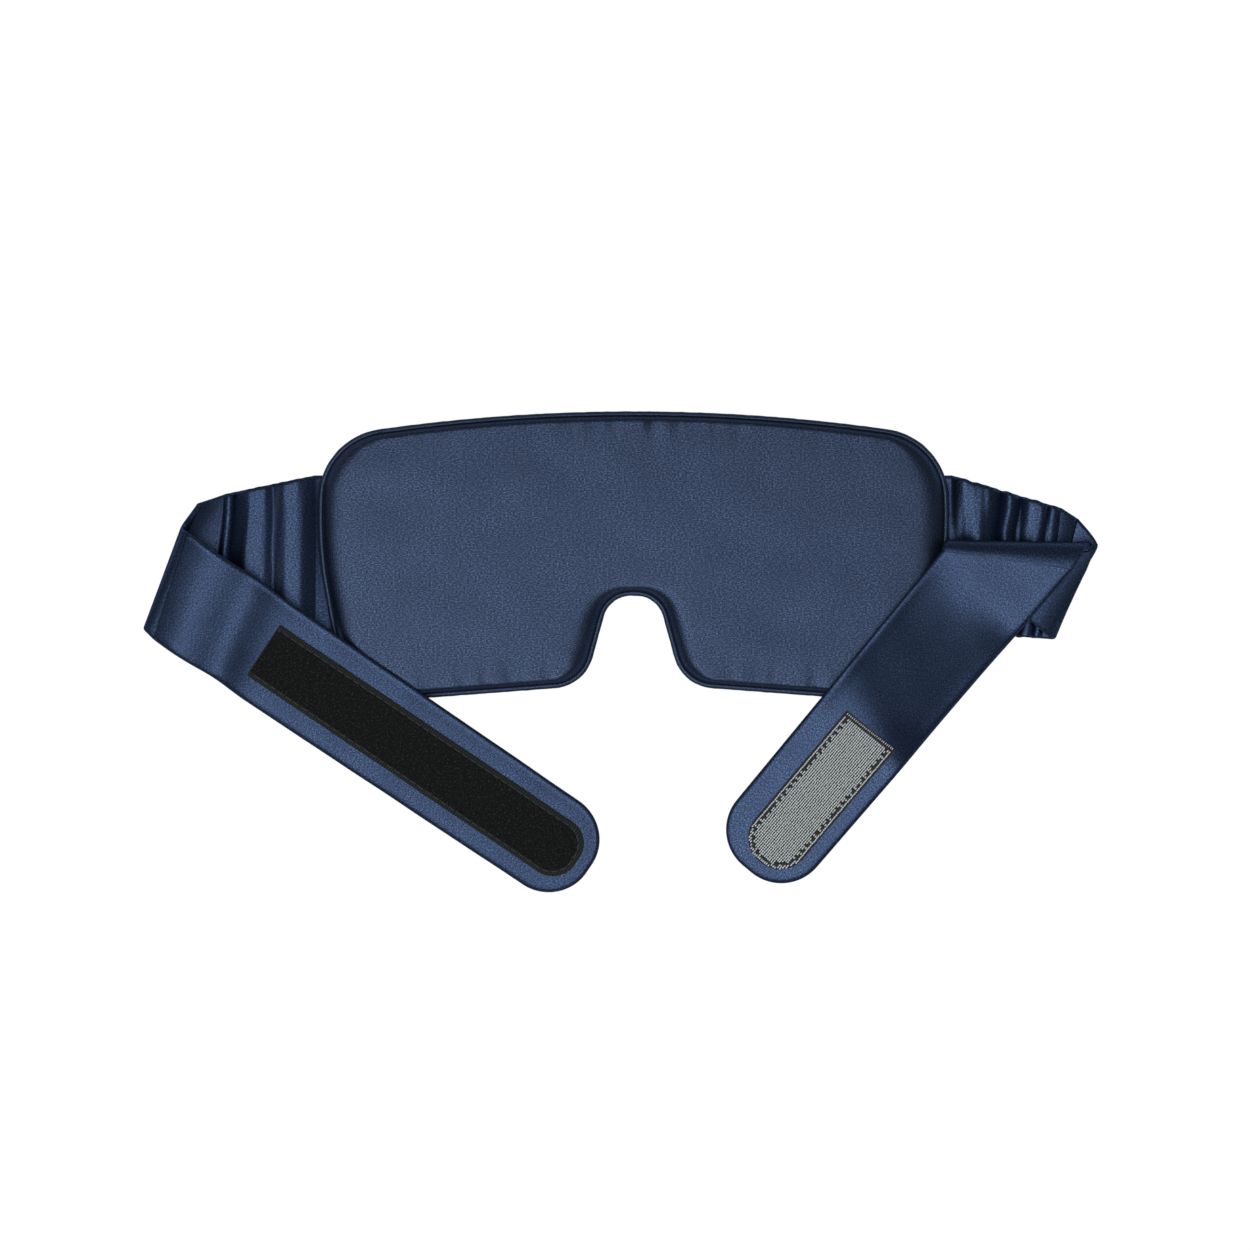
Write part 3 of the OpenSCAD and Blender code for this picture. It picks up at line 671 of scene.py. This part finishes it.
def strap(middle, edge=STRAP_EDGE):
    """Satin strap about a grid of middle points, kept off the table."""
    points, faces, uv = ribbon(middle, STRAP_HALF, edge)
    points[:, 2] = np.maximum(points[:, 2], TABLE_GAP)
    return points, faces, uv


def bend(obj, bodies, start, end):
    """Bakes a piece's transform into its mesh in place; it doesn't bend it, and the bodies and points have no
    effect.
    """
    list(bodies)
    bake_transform(obj)


def gather_height(knots, u, soft):
    """Smooth height along a sleeve through the given places."""
    fine = np.arange(-10.0, SLEEVE_L + 6.0, KNOT_STEP)
    height = np.interp(fine, *np.array(knots).T)
    window = np.hanning(int(soft * 2 / KNOT_STEP) + 3)
    return np.interp(u, fine, np.convolve(height, window / window.sum(), "same"))


def left_gathers(u, g):
    drift = 2.0 * (1 - g) + 0.35 * waves(g * 40, [23, 37], 21)
    return gather_height(LEFT_GATHERS, u + drift * ramp_up(u, 8), 1.1)


def right_gathers(u, g):
    drift = 1.2 * (g - 0.8) + 0.4 * waves(g * 40, [15, 27], 22)
    at = u + drift * ramp_up(SLEEVE_L - u, 8) * ramp_up(u, 5)
    low, high = (gather_height(knots, at, 0.9) for knots in (RIGHT_GATHERS_LOW, RIGHT_GATHERS))
    return low + (high - low) * ramp_up(g - 0.55, 0.4)


def sleeve(root, join, gathers, ruffle, seed):
    """Gathered satin over elastic: soft ridges across the strap and a scalloped edge."""
    stations, places = np.linspace(0, 1, 65), edge_places(ROOT_W, 30)
    middle = line_grid(with_z(root, ROOT_Z), with_z(join, LIE_Z), stations, places)
    f, g = np.meshgrid(stations, places, indexing="ij")
    u = f * SLEEVE_L
    ends = ruffle * ramp_up(u, 3) * ramp_up(SLEEVE_L - u, 3)
    small = 0.10 * waves(u + 1.5 * g, [2.3, 3.7, 5.9], seed) * ends
    middle[:, :, 2] += np.maximum(gathers(u, g) + small, DEEPEST)
    scallop = 0.2 * waves(u, [2.9, 4.3, 7.1], seed + 1) * ends
    pull = np.where(g > 0.5, 1.0, -1.0) * ramp_up(np.abs(g - 0.5) - 0.38, 0.12)
    across = unit(np.array(join[1]) - np.array(join[0]))
    middle[:, :, :2] += (scallop * pull)[:, :, None] * across
    return strap(middle)


def root_line(way):
    """Cross line where a sleeve leaves the pad."""
    return [(way * HINGE_X, ROOT_Y - ROOT_W / 2 - ROOT_HANG), (way * HINGE_X, ROOT_Y + ROOT_W / 2)]


def strap_tab(hand, way, gathers):
    """Root of a strap, from inside the pad's seam to the line where the strap hinges."""
    side = seam[seam[:, 0] * way > 60]
    side = side[np.argsort(side[:, 1])]

    def seam_x(y):
        return np.interp(y, side[:, 1], np.abs(side[:, 0]))

    low, high = np.array(root_line(way))[:, 1]
    places = edge_places(high - low, 30)
    y = low + (high - low) * places
    edge = seam_x(y)
    inner = edge - TAB_IN
    x = inner + (HINGE_X - inner) * np.linspace(0, 1, 15)[:, None]
    u = 2.0 * (x - HINGE_X) / (HINGE_X - edge)
    z = ROOT_Z + np.maximum(gathers(u, places[None]), DEEPEST)
    z = z + (SEAM_H - TAB_UNDER - z) * eased(ramp_up(edge + 1.4 - x, 2.4))
    points, faces, uv = strap(np.stack([way * x, np.broadcast_to(y, x.shape), z], 2))
    in_pad = np.abs(points[:, 0]) < seam_x(points[:, 1])
    points[in_pad, 2] = np.clip(points[in_pad, 2], SEAM_H - TAB_LOW, SEAM_H - TAB_HIGH)
    obj = add_strap(f"{hand}_tab_satin", (points, faces, uv), f"{hand}_strap_tab")
    bend(obj, ("pad", f"{hand}_base"), (way * (HINGE_X - 3), ROOT_Y, 3.0), (way * HINGE_X, ROOT_Y, 3.0))


def elastic(hand, root, join, gathers):
    """Strip of elastic that follows the sleeve about it."""
    ends = line_grid(with_z(root, ROOT_Z), with_z(join, LIE_Z), ELASTIC_RUN, ELASTIC_SPAN)
    stations, places = np.linspace(0, 1, 33), edge_places(ELASTIC_W, 8, FINE_EDGE[:4])
    grid = line_grid(*ends, stations, places)
    run = np.interp(stations, [0, 1], ELASTIC_RUN)[:, None]
    span = np.interp(places, [0, 1], ELASTIC_SPAN)[None]
    grid[:, :, 2] += np.maximum(gathers(run * SLEEVE_L, span), DEEPEST)
    shape = ribbon(grid, ELASTIC_HALF, ELASTIC_EDGE)
    obj = add_mesh(f"{hand}_elastic_strip", shape, ELASTIC, f"{hand}_elastic")
    return obj


SLEEVES = {
    "left": (-1, LEFT_JOIN, left_gathers, 0.3, 31),
    "right": (1, RIGHT_JOIN, right_gathers, 0.6, 41),
}
for hand, (way, join, gathers, ruffle, seed) in SLEEVES.items():
    root = root_line(way)
    bodies = f"{hand}_base", f"{hand}_middle"
    ends = (*np.mean(root, axis=0), LIE_Z), (*np.mean(join, axis=0), LIE_Z)
    obj = add_strap(f"{hand}_sleeve_satin", sleeve(root, join, gathers, ruffle, seed), f"{hand}_sleeve")
    strap_tab(hand, way, gathers)
    bend(obj, bodies, *ends)
    bend(elastic(hand, root, join, gathers), bodies, *ends)


# Bands from the cross seams to the folds, rising as they near the fold
CURL_SLOPE = 0.45  # share of a band's final slope that it has at its seam
CURL_GAIN = (1 - CURL_SLOPE) / 2
LEFT_STEEP, RIGHT_STEEP, LIP_STEEP = np.array([0.0, 0.5]), np.array([0.0, 0.6]), np.zeros(2)
CROSS_STITCHES, CROSS_HALF, CROSS_OUT, CROSS_R = 15, 0.95, 0.9, 0.16
CROSS_Z = LIE_Z + STRAP_HALF + 0.1
CROSS_ARC = ((-1.0, -0.2), (-0.6, 0.08), (0.6, 0.08), (1.0, -0.2))


def curl(fold, join, steep):
    """Height that a band has gained at its fold, at the two ends of the fold line."""
    deep = np.linalg.norm(np.array(fold) - np.array(join), axis=1)
    return (CURL_SLOPE + CURL_GAIN) * np.tan(steep) * deep


def raised(fold, join, steep):
    """The fold line at the height that its band has there."""
    return [(*p, LIE_Z + gain) for p, gain in zip(fold, curl(fold, join, steep))]


def band(hand, join, fold, steep):
    """Flat run of a strap from its cross seam to its fold."""
    stations, places = np.linspace(0, 1, 14), edge_places(40.0, 26)
    middle = line_grid(with_z(join, LIE_Z + 0.05), with_z(fold, LIE_Z), stations, places)
    gain = np.interp(places, [0, 1], curl(fold, join, steep))
    rise = CURL_SLOPE * stations + CURL_GAIN * stations**2
    middle[:, :, 2] += (rise / rise[-1])[:, None] * gain
    obj = add_strap(f"{hand}_band_satin", strap(middle), f"{hand}_band", f"{hand}_middle")


def band_stitches(hand, join, out):
    """Row of stitches over a cross seam, a little way out from it."""
    a, b = np.array(join)
    half = unit(b - a) * CROSS_HALF
    parts = []
    for i in range(CROSS_STITCHES):
        c = a + (b - a) * (i + 0.5) / CROSS_STITCHES + np.array(out) * CROSS_OUT
        parts.append(tube([(*(c + half * k), CROSS_Z + z) for k, z in CROSS_ARC], CROSS_R, sides=6))
    shape = joined(parts)
    add_mesh(f"{hand}_cross_seam", shape, THREAD, f"{hand}_cross_stitches", f"{hand}_middle")


band("left", LEFT_JOIN, LEFT_FOLD, LEFT_STEEP)
band("right", RIGHT_JOIN, RIGHT_FOLD, RIGHT_STEEP)
band_stitches("left", LEFT_JOIN, (-1, -0.1))
band_stitches("right", RIGHT_JOIN, (1, -0.2))

# Left end: a plane leaning on the cheek corner of the pad, with a soft dip before the tape
LEFT_PIVOT, LEFT_Z, LEFT_HEADING = (-150.146, -9.0), 7.379, -34.0
LEFT_TILT, LEFT_SINK, LEFT_L = math.radians(13.753), math.radians(0.6), 164.0
LEFT_FALL, LEFT_DROP = 6.0, 0.8  # the left flap bends down towards its fold, over this length
LOOP_START, LOOP_END, TAPE_HALF = 38.4, 159.4, 10.0
left_dir, left_side = toward(LEFT_HEADING), toward(LEFT_HEADING + 90)
left_lean = left_dir * math.sin(LEFT_SINK) - left_side * math.sin(LEFT_TILT)
LEFT_NORMAL = unit([*left_lean, math.cos(LEFT_TILT)])


def left_start(v):
    return 2.4 - 4.7 * v / HALF_STRAP


def left_drape(s, v):
    past = s - left_start(v)
    dip = -1.9 * hump(s + 0.2 * v, 27.0, 7.5) + 0.5 * hump(s + 0.2 * v, 12.0, 7.0)
    wave = 0.12 * waves(s + 0.5 * v, [23, 37, 55], 51) * ramp_up(s - 8, 20)
    return (dip + wave) * eased(ramp_up(past, 8.0)) - LEFT_DROP * (1 - ramp_up(past, LEFT_FALL)) ** 2


def left_place(p, h):
    s, v = p[:, :1], p[:, 1:]
    flat = np.array(LEFT_PIVOT) + s * left_dir + v * left_side * math.cos(LEFT_TILT)
    z = LEFT_Z - s * math.sin(LEFT_SINK) + v * math.sin(LEFT_TILT)
    return stand(flat, z) + LEFT_NORMAL * (left_drape(*p.T) + h)[:, None]


# Right end: over the pad, falling away from its roll, humped where the tape begins, then down to the table
RIGHT_PIVOT, RIGHT_HEADING, RIGHT_L = (123.146, 2.5), 230.0, 135.0
RIGHT_BEND, RIGHT_SLOPE, RIGHT_SOFT = 68.111, math.radians(7.733), 7.0
HOOK_START, HOOK_END, HOOK_OFF = 75.4, 130.4, 1.6
SLOPE_STEP = 0.05
right_dir, right_side = toward(RIGHT_HEADING), toward(RIGHT_HEADING + 90)


def right_start(v):
    return 5.9 - 11.3 * v / HALF_STRAP


def right_height(s, v):
    bent = np.logaddexp(0, (s - RIGHT_BEND) / RIGHT_SOFT) - np.logaddexp(0, -RIGHT_BEND / RIGHT_SOFT)
    lip = 2.0 * np.exp(-np.maximum(s - right_start(v) + 6, 0) ** 2 / 260.0)
    rise = 0.9 * hump(s, 71, 12)
    wave = 0.12 * waves(s - 0.4 * v, [19, 31, 47], 61) * ramp_up(RIGHT_L - s, 40)
    lean = 0.29 * np.exp(-(((s - 50) / 24.0) ** 4)) * (v + 10)
    return OVER_Z + lip + rise - lean + wave - math.tan(RIGHT_SLOPE) * RIGHT_SOFT * bent


def right_place(p, h):
    s, v = p.T
    slope = (right_height(s + SLOPE_STEP, v) - right_height(s - SLOPE_STEP, v)) / (2 * SLOPE_STEP)
    rise = h / np.sqrt(1 + slope**2)
    flat = np.array(RIGHT_PIVOT) + (s - slope * rise)[:, None] * right_dir + v[:, None] * right_side
    return stand(flat, right_height(s, v) + rise)


COVER_STEP, COVER_INSETS, COVER_SPACING = 1.2, [0.08, 0.25, 0.55, 0.95, 1.5, 2.3, 3.4], 2.3
WELT_H, WELT_IN, WELT_W, WELT_RUN = 0.09, 1.9, 1.0, 6
OPEN_RUN = 2.5  # nearer to the fold than this, the cover stays open towards its roll


def end_cover(hand, start, length, place):
    """Satin of a strap end from its slanting fold to its round tip, with a faint welt along its edge."""
    fold = [(start(v), v, 0.02) for v in (-HALF_STRAP, HALF_STRAP)]
    edge, out, _ = rounded(fold + [(length, TIP_HALF, TIP_R), (length, -TIP_HALF, TIP_R)], COVER_STEP)

    def skin(p, d, near):
        past = p[:, 0] - start(p[:, 1])
        to_side = np.where(past < OPEN_RUN, HALF_STRAP - np.abs(p[:, 1]), d)
        welt = WELT_H * hump(to_side, WELT_IN, WELT_W) * ramp_up(past, WELT_RUN)
        return STRAP_HALF * swell(to_side / ROLL_EDGE) + welt

    shape = plate(edge, out, COVER_INSETS, COVER_SPACING, skin, lambda p, d, n: -skin(p, d, n), place)
    obj = add_strap(f"{hand}_end_satin", shape, f"{hand}_end_cover", f"{hand}_end")


end_cover("left", left_start, LEFT_L, left_place)
end_cover("right", right_start, RIGHT_L, right_place)

# Rolls between the bands and the strap ends
ROLL_STEPS, ROLL_PLACES = np.linspace(0, 1, 29), edge_places(2 * HALF_STRAP, 26)
ROLL_REACH = 1.0
TURN_STEPS, TURN_RISE, TURN_RUN = np.linspace(0, 1, 30) ** 1.4, 2.6, 7.0


def fold_line(start, place):
    """Cross line at the fold of a strap end, low side first, with places across."""
    v = ROLL_PLACES * 2 * HALF_STRAP - HALF_STRAP
    return place(np.stack([start(v), v], 1), np.zeros(len(v)))


def half_roll(start, end, out, steep, late, early, last):
    """Half turn of a strap from one cross line to another that lies higher, bulging outwards, that ends
    short of level by the angle last. At each end the drift from line to line comes late or early."""
    start, end = np.array(start, float), np.array(end, float)
    k = ROLL_STEPS
    sides = []
    for e in (0, 1):
        first = steep[e]
        a = first + (math.pi - last - first) * k
        r = (end[e][2] - start[e][2]) / (math.cos(last) + math.cos(first))
        bulge = r * (np.sin(a) - math.sin(first) * (1 - k) - math.sin(last) * k)
        drift = 1 - (1 - k ** late[e]) ** early[e]
        flat = start[e][:2] + (end[e] - start[e])[:2] * drift[:, None] + np.outer(bulge, out)
        sides.append(stand(flat, start[e][2] + r * (math.cos(first) - np.cos(a))))
    low, high = np.array(sides)[:, :, None]
    return low + (high - low) * ROLL_PLACES[None, :, None]


def roll(name, node, bodies, line, flap, out, steep, drift, pivot, axis):
    """Roll from a cross line to a flap. Points either side of its hinge go to bend with the two bodies,
    which only bakes its transform."""
    grid = half_roll(line, (flap[0], flap[-1]), out, steep, *drift)
    if len(flap) == len(ROLL_PLACES):
        grid += (flap - grid[-1])[None] * ROLL_STEPS[:, None, None] ** 2
    obj = add_strap(name, strap(grid, ROLL_EDGE), node)
    up = unit(np.cross(axis, (*out, 0.0)))
    up *= np.sign(up[2])
    bend(obj, bodies, np.array(pivot) - up * ROLL_REACH, np.array(pivot) + up * ROLL_REACH)


roll(
    "left_roll_satin", "left_fold_roll", ("left_middle", "left_end"),
    raised(LEFT_FOLD, LEFT_JOIN, LEFT_STEEP), fold_line(left_start, left_place),
    toward(157.4), LEFT_STEEP, ((4, 1), (1, 3), 0.28),
    pivot=(-155.12, -26.1, 2.01), axis=(-0.35577, -0.92850, -0.10675),
)
roll(
    "right_roll_satin", "right_fold_roll", ("right_middle", "right_layer"),
    raised(RIGHT_FOLD, RIGHT_JOIN, RIGHT_STEEP), TURN_START,
    toward(-20), RIGHT_STEEP, ((1, 1), (1.5, 1.5), 0.0),
    pivot=(133.18, -26.94, 2.15), axis=(0.33602, 0.94112, 0.03706),
)
roll(
    "right_lip_satin", "right_lip_roll", ("right_layer", "right_end"),
    TURN_END, fold_line(right_start, right_place),
    toward(84), LIP_STEEP, ((2, 2), (1, 1), 0.0),
    pivot=(100.94, 3.1, 8.6), axis=(-0.99175, 0.12819, -0.00704),
)

turn_grid = line_grid(TURN_START, TURN_END, TURN_STEPS, ROLL_PLACES)
from_crease = np.linalg.norm(turn_grid - turn_grid[:1], axis=2)
turn_grid[:, :, 2] += TURN_RISE * (1 - np.exp(-from_crease / TURN_RUN)) * (1 - TURN_STEPS[:, None])
turn = add_strap("right_turn_satin", strap(turn_grid, ROLL_EDGE), "right_turn", "right_layer")


# ---- tapes, at heights over the middle of the strap ends
TAPE_LOW, TAPE_HIGH, PILE_HIGH = 1.0, 1.55, 2.35
TAPE_STEP, TAPE_CORNER, TAPE_INSETS, TAPE_SPACING = 0.8, 0.3, [0.4, 1.0], 2.5
CORE_HALF, CORE_IN, CORE_BEFORE, CORE_SHORT, CORE_FLAT = 0.35, 2.2, 4, 2, 0.032
CORE_STEP, CORE_CORNER, CORE_INSETS, CORE_SPACING = 2.0, 0.5, [0.5, 2.0], 5.0


def tape_outline(start, end, half, r, off=0.0):
    corners = [(start, off - half, TAPE_CORNER), (start, off + half, TAPE_CORNER)]
    return rounded(corners + [(end, off + half, r), (end, off - half, r)], TAPE_STEP)


def slab(outline, insets, spacing, low, high, place, rough=0.0, seed=1):
    """Thin flat piece on a strap end between two heights."""
    edge, out, _ = outline
    noise = np.random.default_rng(seed)

    def top(p, d, near):
        bevel = (high - low) * 0.5 * (1 - ramp_up(d, 0.5))
        return high - bevel + rough * noise.uniform(-1, 1, len(p)) * (d > 0.3)

    return plate(edge, out, insets, spacing, top, level(low), place)


def end_core(hand, start, length, place):
    """Interlining inside a strap end, from before its tape to its tip."""
    half, tip, r, end = HALF_STRAP - CORE_IN, TIP_HALF - CORE_IN, TIP_R - CORE_IN, length - CORE_SHORT
    corners = [(start, -half, CORE_CORNER), (start, half, CORE_CORNER), (end, tip, r), (end, -tip, r)]
    shape = slab(rounded(corners, CORE_STEP), CORE_INSETS, CORE_SPACING, -CORE_HALF, CORE_HALF, place)
    name, node = f"{hand}_core_felt", f"{hand}_interlining"
    obj = add_mesh(name, shape, INTERLINING, node, f"{hand}_end")


def backing(kind, hand, start, end, place, material, r, off=0.0):
    """Woven tape on a strap end."""
    outline = tape_outline(start, end, TAPE_HALF, r, off)
    shape = slab(outline, TAPE_INSETS, TAPE_SPACING, TAPE_LOW, TAPE_HIGH, place)
    obj = add_mesh(f"{kind}_tape_backing", shape, material, f"{kind}_tape", f"{hand}_end")


STITCH_ARC = np.array([(-0.5, -0.12), (-0.32, 0.07), (0.0, 0.12), (0.32, 0.07), (0.5, -0.12)])


def stitch_places(outline, pitch):
    """Places and angles of stitches along an outline."""
    edge, out, run = outline
    at = np.arange(pitch / 2, run[-1], pitch)
    x, y, nx, ny = (np.interp(at, run, q) for q in (*edge.T, *out.T))
    return [((a, b), math.atan2(d, c) + math.pi / 2) for a, b, c, d in zip(x, y, nx, ny)]


def stitch_row(places, place, height, length, radius):
    """Short raised stitches at flat places with an angle each."""
    parts = []
    for spot, angle in places:
        way = np.array([math.cos(angle), math.sin(angle)])
        flat = np.array([spot]) + STITCH_ARC[:, :1] * length * way
        parts.append(tube(place(flat, height + STITCH_ARC[:, 1]), radius, sides=6))
    return joined(parts)


end_core("left", LOOP_START - CORE_BEFORE, LEFT_L, left_place)
end_core("right", HOOK_START - CORE_BEFORE, RIGHT_L, right_place)
backing("loop", "left", LOOP_START, LOOP_END, left_place, LOOP_BACK, r=8.5)

# Loop pile: a rough slab under loops that stand every way
PILE_IN, PILE_ROUGH = 1.9, 0.16
LOOP_PITCH, LOOP_STRAY, LOOP_R = 0.78, 0.36, 0.075
LOOP_ARC = np.array([(-0.34, -0.15), (-0.30, 0.22), (0.0, 0.42), (0.30, 0.22), (0.34, -0.15)])

outline = tape_outline(LOOP_START + 0.3, LOOP_END - PILE_IN, TAPE_HALF - PILE_IN, r=7.2)
parts = [slab(outline, [0.35, 0.9], 0.85, TAPE_HIGH, PILE_HIGH - 0.35, left_place, PILE_ROUGH, seed=71)]
spots = np.random.default_rng(72)
rows = np.arange(LOOP_START + 0.8, LOOP_END - PILE_IN, LOOP_PITCH)
cells = np.array([(s, v) for s in rows for v in np.arange(-8.5, 8.6, LOOP_PITCH)])
cells = cells + spots.uniform(-LOOP_STRAY, LOOP_STRAY, (len(cells), 2))
cells = cells[inside(cells, outline[0])]
turns = spots.uniform(0, 2 * math.pi, len(cells))
sizes = spots.uniform(0.75, 1.25, len(cells))
for cell, angle, size in zip(cells, turns, sizes):
    flat = cell + LOOP_ARC[:, :1] * size * np.array([math.cos(angle), math.sin(angle)])
    parts.append(tube(left_place(flat, PILE_HIGH - 0.4 + LOOP_ARC[:, 1] * size), LOOP_R, sides=3))
add_mesh("loop_pile_loops", joined(parts), LOOP_PILE, "loop_pile", "left_end")
outline = tape_outline(LOOP_START + 0.9, LOOP_END - 1.5, TAPE_HALF - 1.5, r=7.4)
loop_stitches = stitch_places(outline, pitch=3.0)
shape = stitch_row(loop_stitches, left_place, TAPE_HIGH + 0.1, length=1.9, radius=0.15)
add_mesh("loop_tape_stitches", shape, NAVY_THREAD, "loop_stitches", "left_end")

# Hooks: rows across the tape, pressed down where its stitches run, and thinner in the row at its straight end
HOOK_ROW, HOOK_LINE, HOOK_STRAY, HOOK_LEAN = 0.80, 0.70, 0.05, 0.08
HOOK_R, END_HOOK_R = 0.21, 0.13
HOOK_ARC = np.array([(-0.25, 0.0), (-0.27, 0.55), (-0.10, 0.80), (0.16, 0.78), (0.27, 0.52)])
PRESS_ALONG, PRESS_ACROSS = 0.95, 0.66

backing("hook", "right", HOOK_START, HOOK_END, right_place, HOOK_BACK, r=9.6, off=HOOK_OFF)
outline = tape_outline(HOOK_START + 1.3, HOOK_END - 1.7, TAPE_HALF - 1.7, r=8.0, off=HOOK_OFF)
hook_stitches = stitch_places(outline, pitch=2.5)
shape = stitch_row(hook_stitches, right_place, TAPE_HIGH + 0.3, length=1.6, radius=0.34)
add_mesh("hook_tape_stitches", shape, THREAD, "hook_stitches", "right_end")


def pressed_down(spot):
    """Whether a stitch covers a place on the hook tape."""
    for centre, angle in hook_stitches:
        away = spot - np.array(centre)
        along = away[0] * math.cos(angle) + away[1] * math.sin(angle)
        across = away[1] * math.cos(angle) - away[0] * math.sin(angle)
        if (along / PRESS_ALONG) ** 2 + (across / PRESS_ACROSS) ** 2 < 1:
            return True
    return False


hook_edge = tape_outline(HOOK_START + 0.3, HOOK_END - 0.4, TAPE_HALF - 0.4, r=9.3, off=HOOK_OFF)[0]
jitter = np.random.default_rng(81)
hooks = []
for s in [HOOK_START + 0.6, *np.arange(HOOK_START + 2.0, HOOK_END - 0.5, HOOK_ROW)]:
    for v in np.arange(-14, 15) * HOOK_LINE + HOOK_OFF:
        spot = np.array([[s, v]]) + jitter.uniform(-HOOK_STRAY, HOOK_STRAY, 2)
        lean = jitter.uniform(-HOOK_LEAN, HOOK_LEAN, 5)
        end_row = s < HOOK_START + 1
        if not inside(spot, hook_edge)[0] or pressed_down(spot[0]) and not end_row:
            continue
        flat = spot + np.column_stack([HOOK_ARC[:, 0], lean * HOOK_ARC[:, 1]])
        line = right_place(flat, TAPE_HIGH - 0.02 + HOOK_ARC[:, 1])
        hooks.append(tube(line, END_HOOK_R if end_row else HOOK_R, sides=4))
add_mesh("hook_field_hooks", joined(hooks), HOOKS, "hook_field", "right_end")


# ---- stage and light, in metres: a floor that the camera and reflections see as white
FLOOR_HALF, FLOOR_Z = 3.0, -0.0002
FLOOR_GREY, FLOOR_GLOW, GLOW_SHARE = 0.82, 1.08, 0.9
SKY, SKY_STRENGTH = (0.92, 0.96, 1.0, 1), 0.25
KEY_PLACE, KEY_AIM, KEY_SIZE, KEY_POWER = (-0.53, -0.62, 2.9), (0, -0.02, 0), (1.9, 2.2), 50

white = Paint("floor_white")
white.set(colour=(FLOOR_GREY,) * 3, rough=0.9)
glow = white.node("ShaderNodeEmission", {"Strength": FLOOR_GLOW}).outputs["Emission"]
rays = white.node("ShaderNodeLightPath").outputs
seen = rays["Is Camera Ray"]
for ray in ("Is Glossy Ray", "Is Transmission Ray"):
    seen = white.node("ShaderNodeMath", {0: seen, 1: rays[ray]}, operation="MAXIMUM").outputs[0]
share = white.node("ShaderNodeMath", {0: seen, 1: GLOW_SHARE}, operation="MULTIPLY").outputs[0]
both = white.node("ShaderNodeMixShader", {0: share, 1: white.shader.outputs["BSDF"], 2: glow})
white.feed(both.outputs["Shader"], white.tree.nodes["Material Output"].inputs["Surface"])

floor_mesh = bpy.data.meshes.new("floor")
corners = [(x * FLOOR_HALF, y * FLOOR_HALF, 0) for x, y in ((-1, -1), (1, -1), (1, 1), (-1, 1))]
floor_mesh.from_pydata(corners, [], [(0, 1, 2, 3)])
floor_mesh.materials.append(white.material)
floor = bpy.data.objects.new("floor", floor_mesh)
floor.location.z = FLOOR_Z
scene.collection.objects.link(floor)

world = bpy.data.worlds.new("world")
world.use_nodes = True
sky = world.node_tree.nodes["Background"].inputs
sky["Color"].default_value, sky["Strength"].default_value = SKY, SKY_STRENGTH
scene.world = world

key_data = bpy.data.lights.new("key_light", "AREA")
key_data.shape = "RECTANGLE"
key_data.size, key_data.size_y = KEY_SIZE
key_data.energy = KEY_POWER
key = bpy.data.objects.new("key_light", key_data)
key.location = KEY_PLACE
key.rotation_mode = "QUATERNION"
key.rotation_quaternion = (Vector(KEY_AIM) - key.location).to_track_quat("-Z", "Y")
key.visible_camera = False
scene.collection.objects.link(key)

scene.view_settings.view_transform = "Standard"
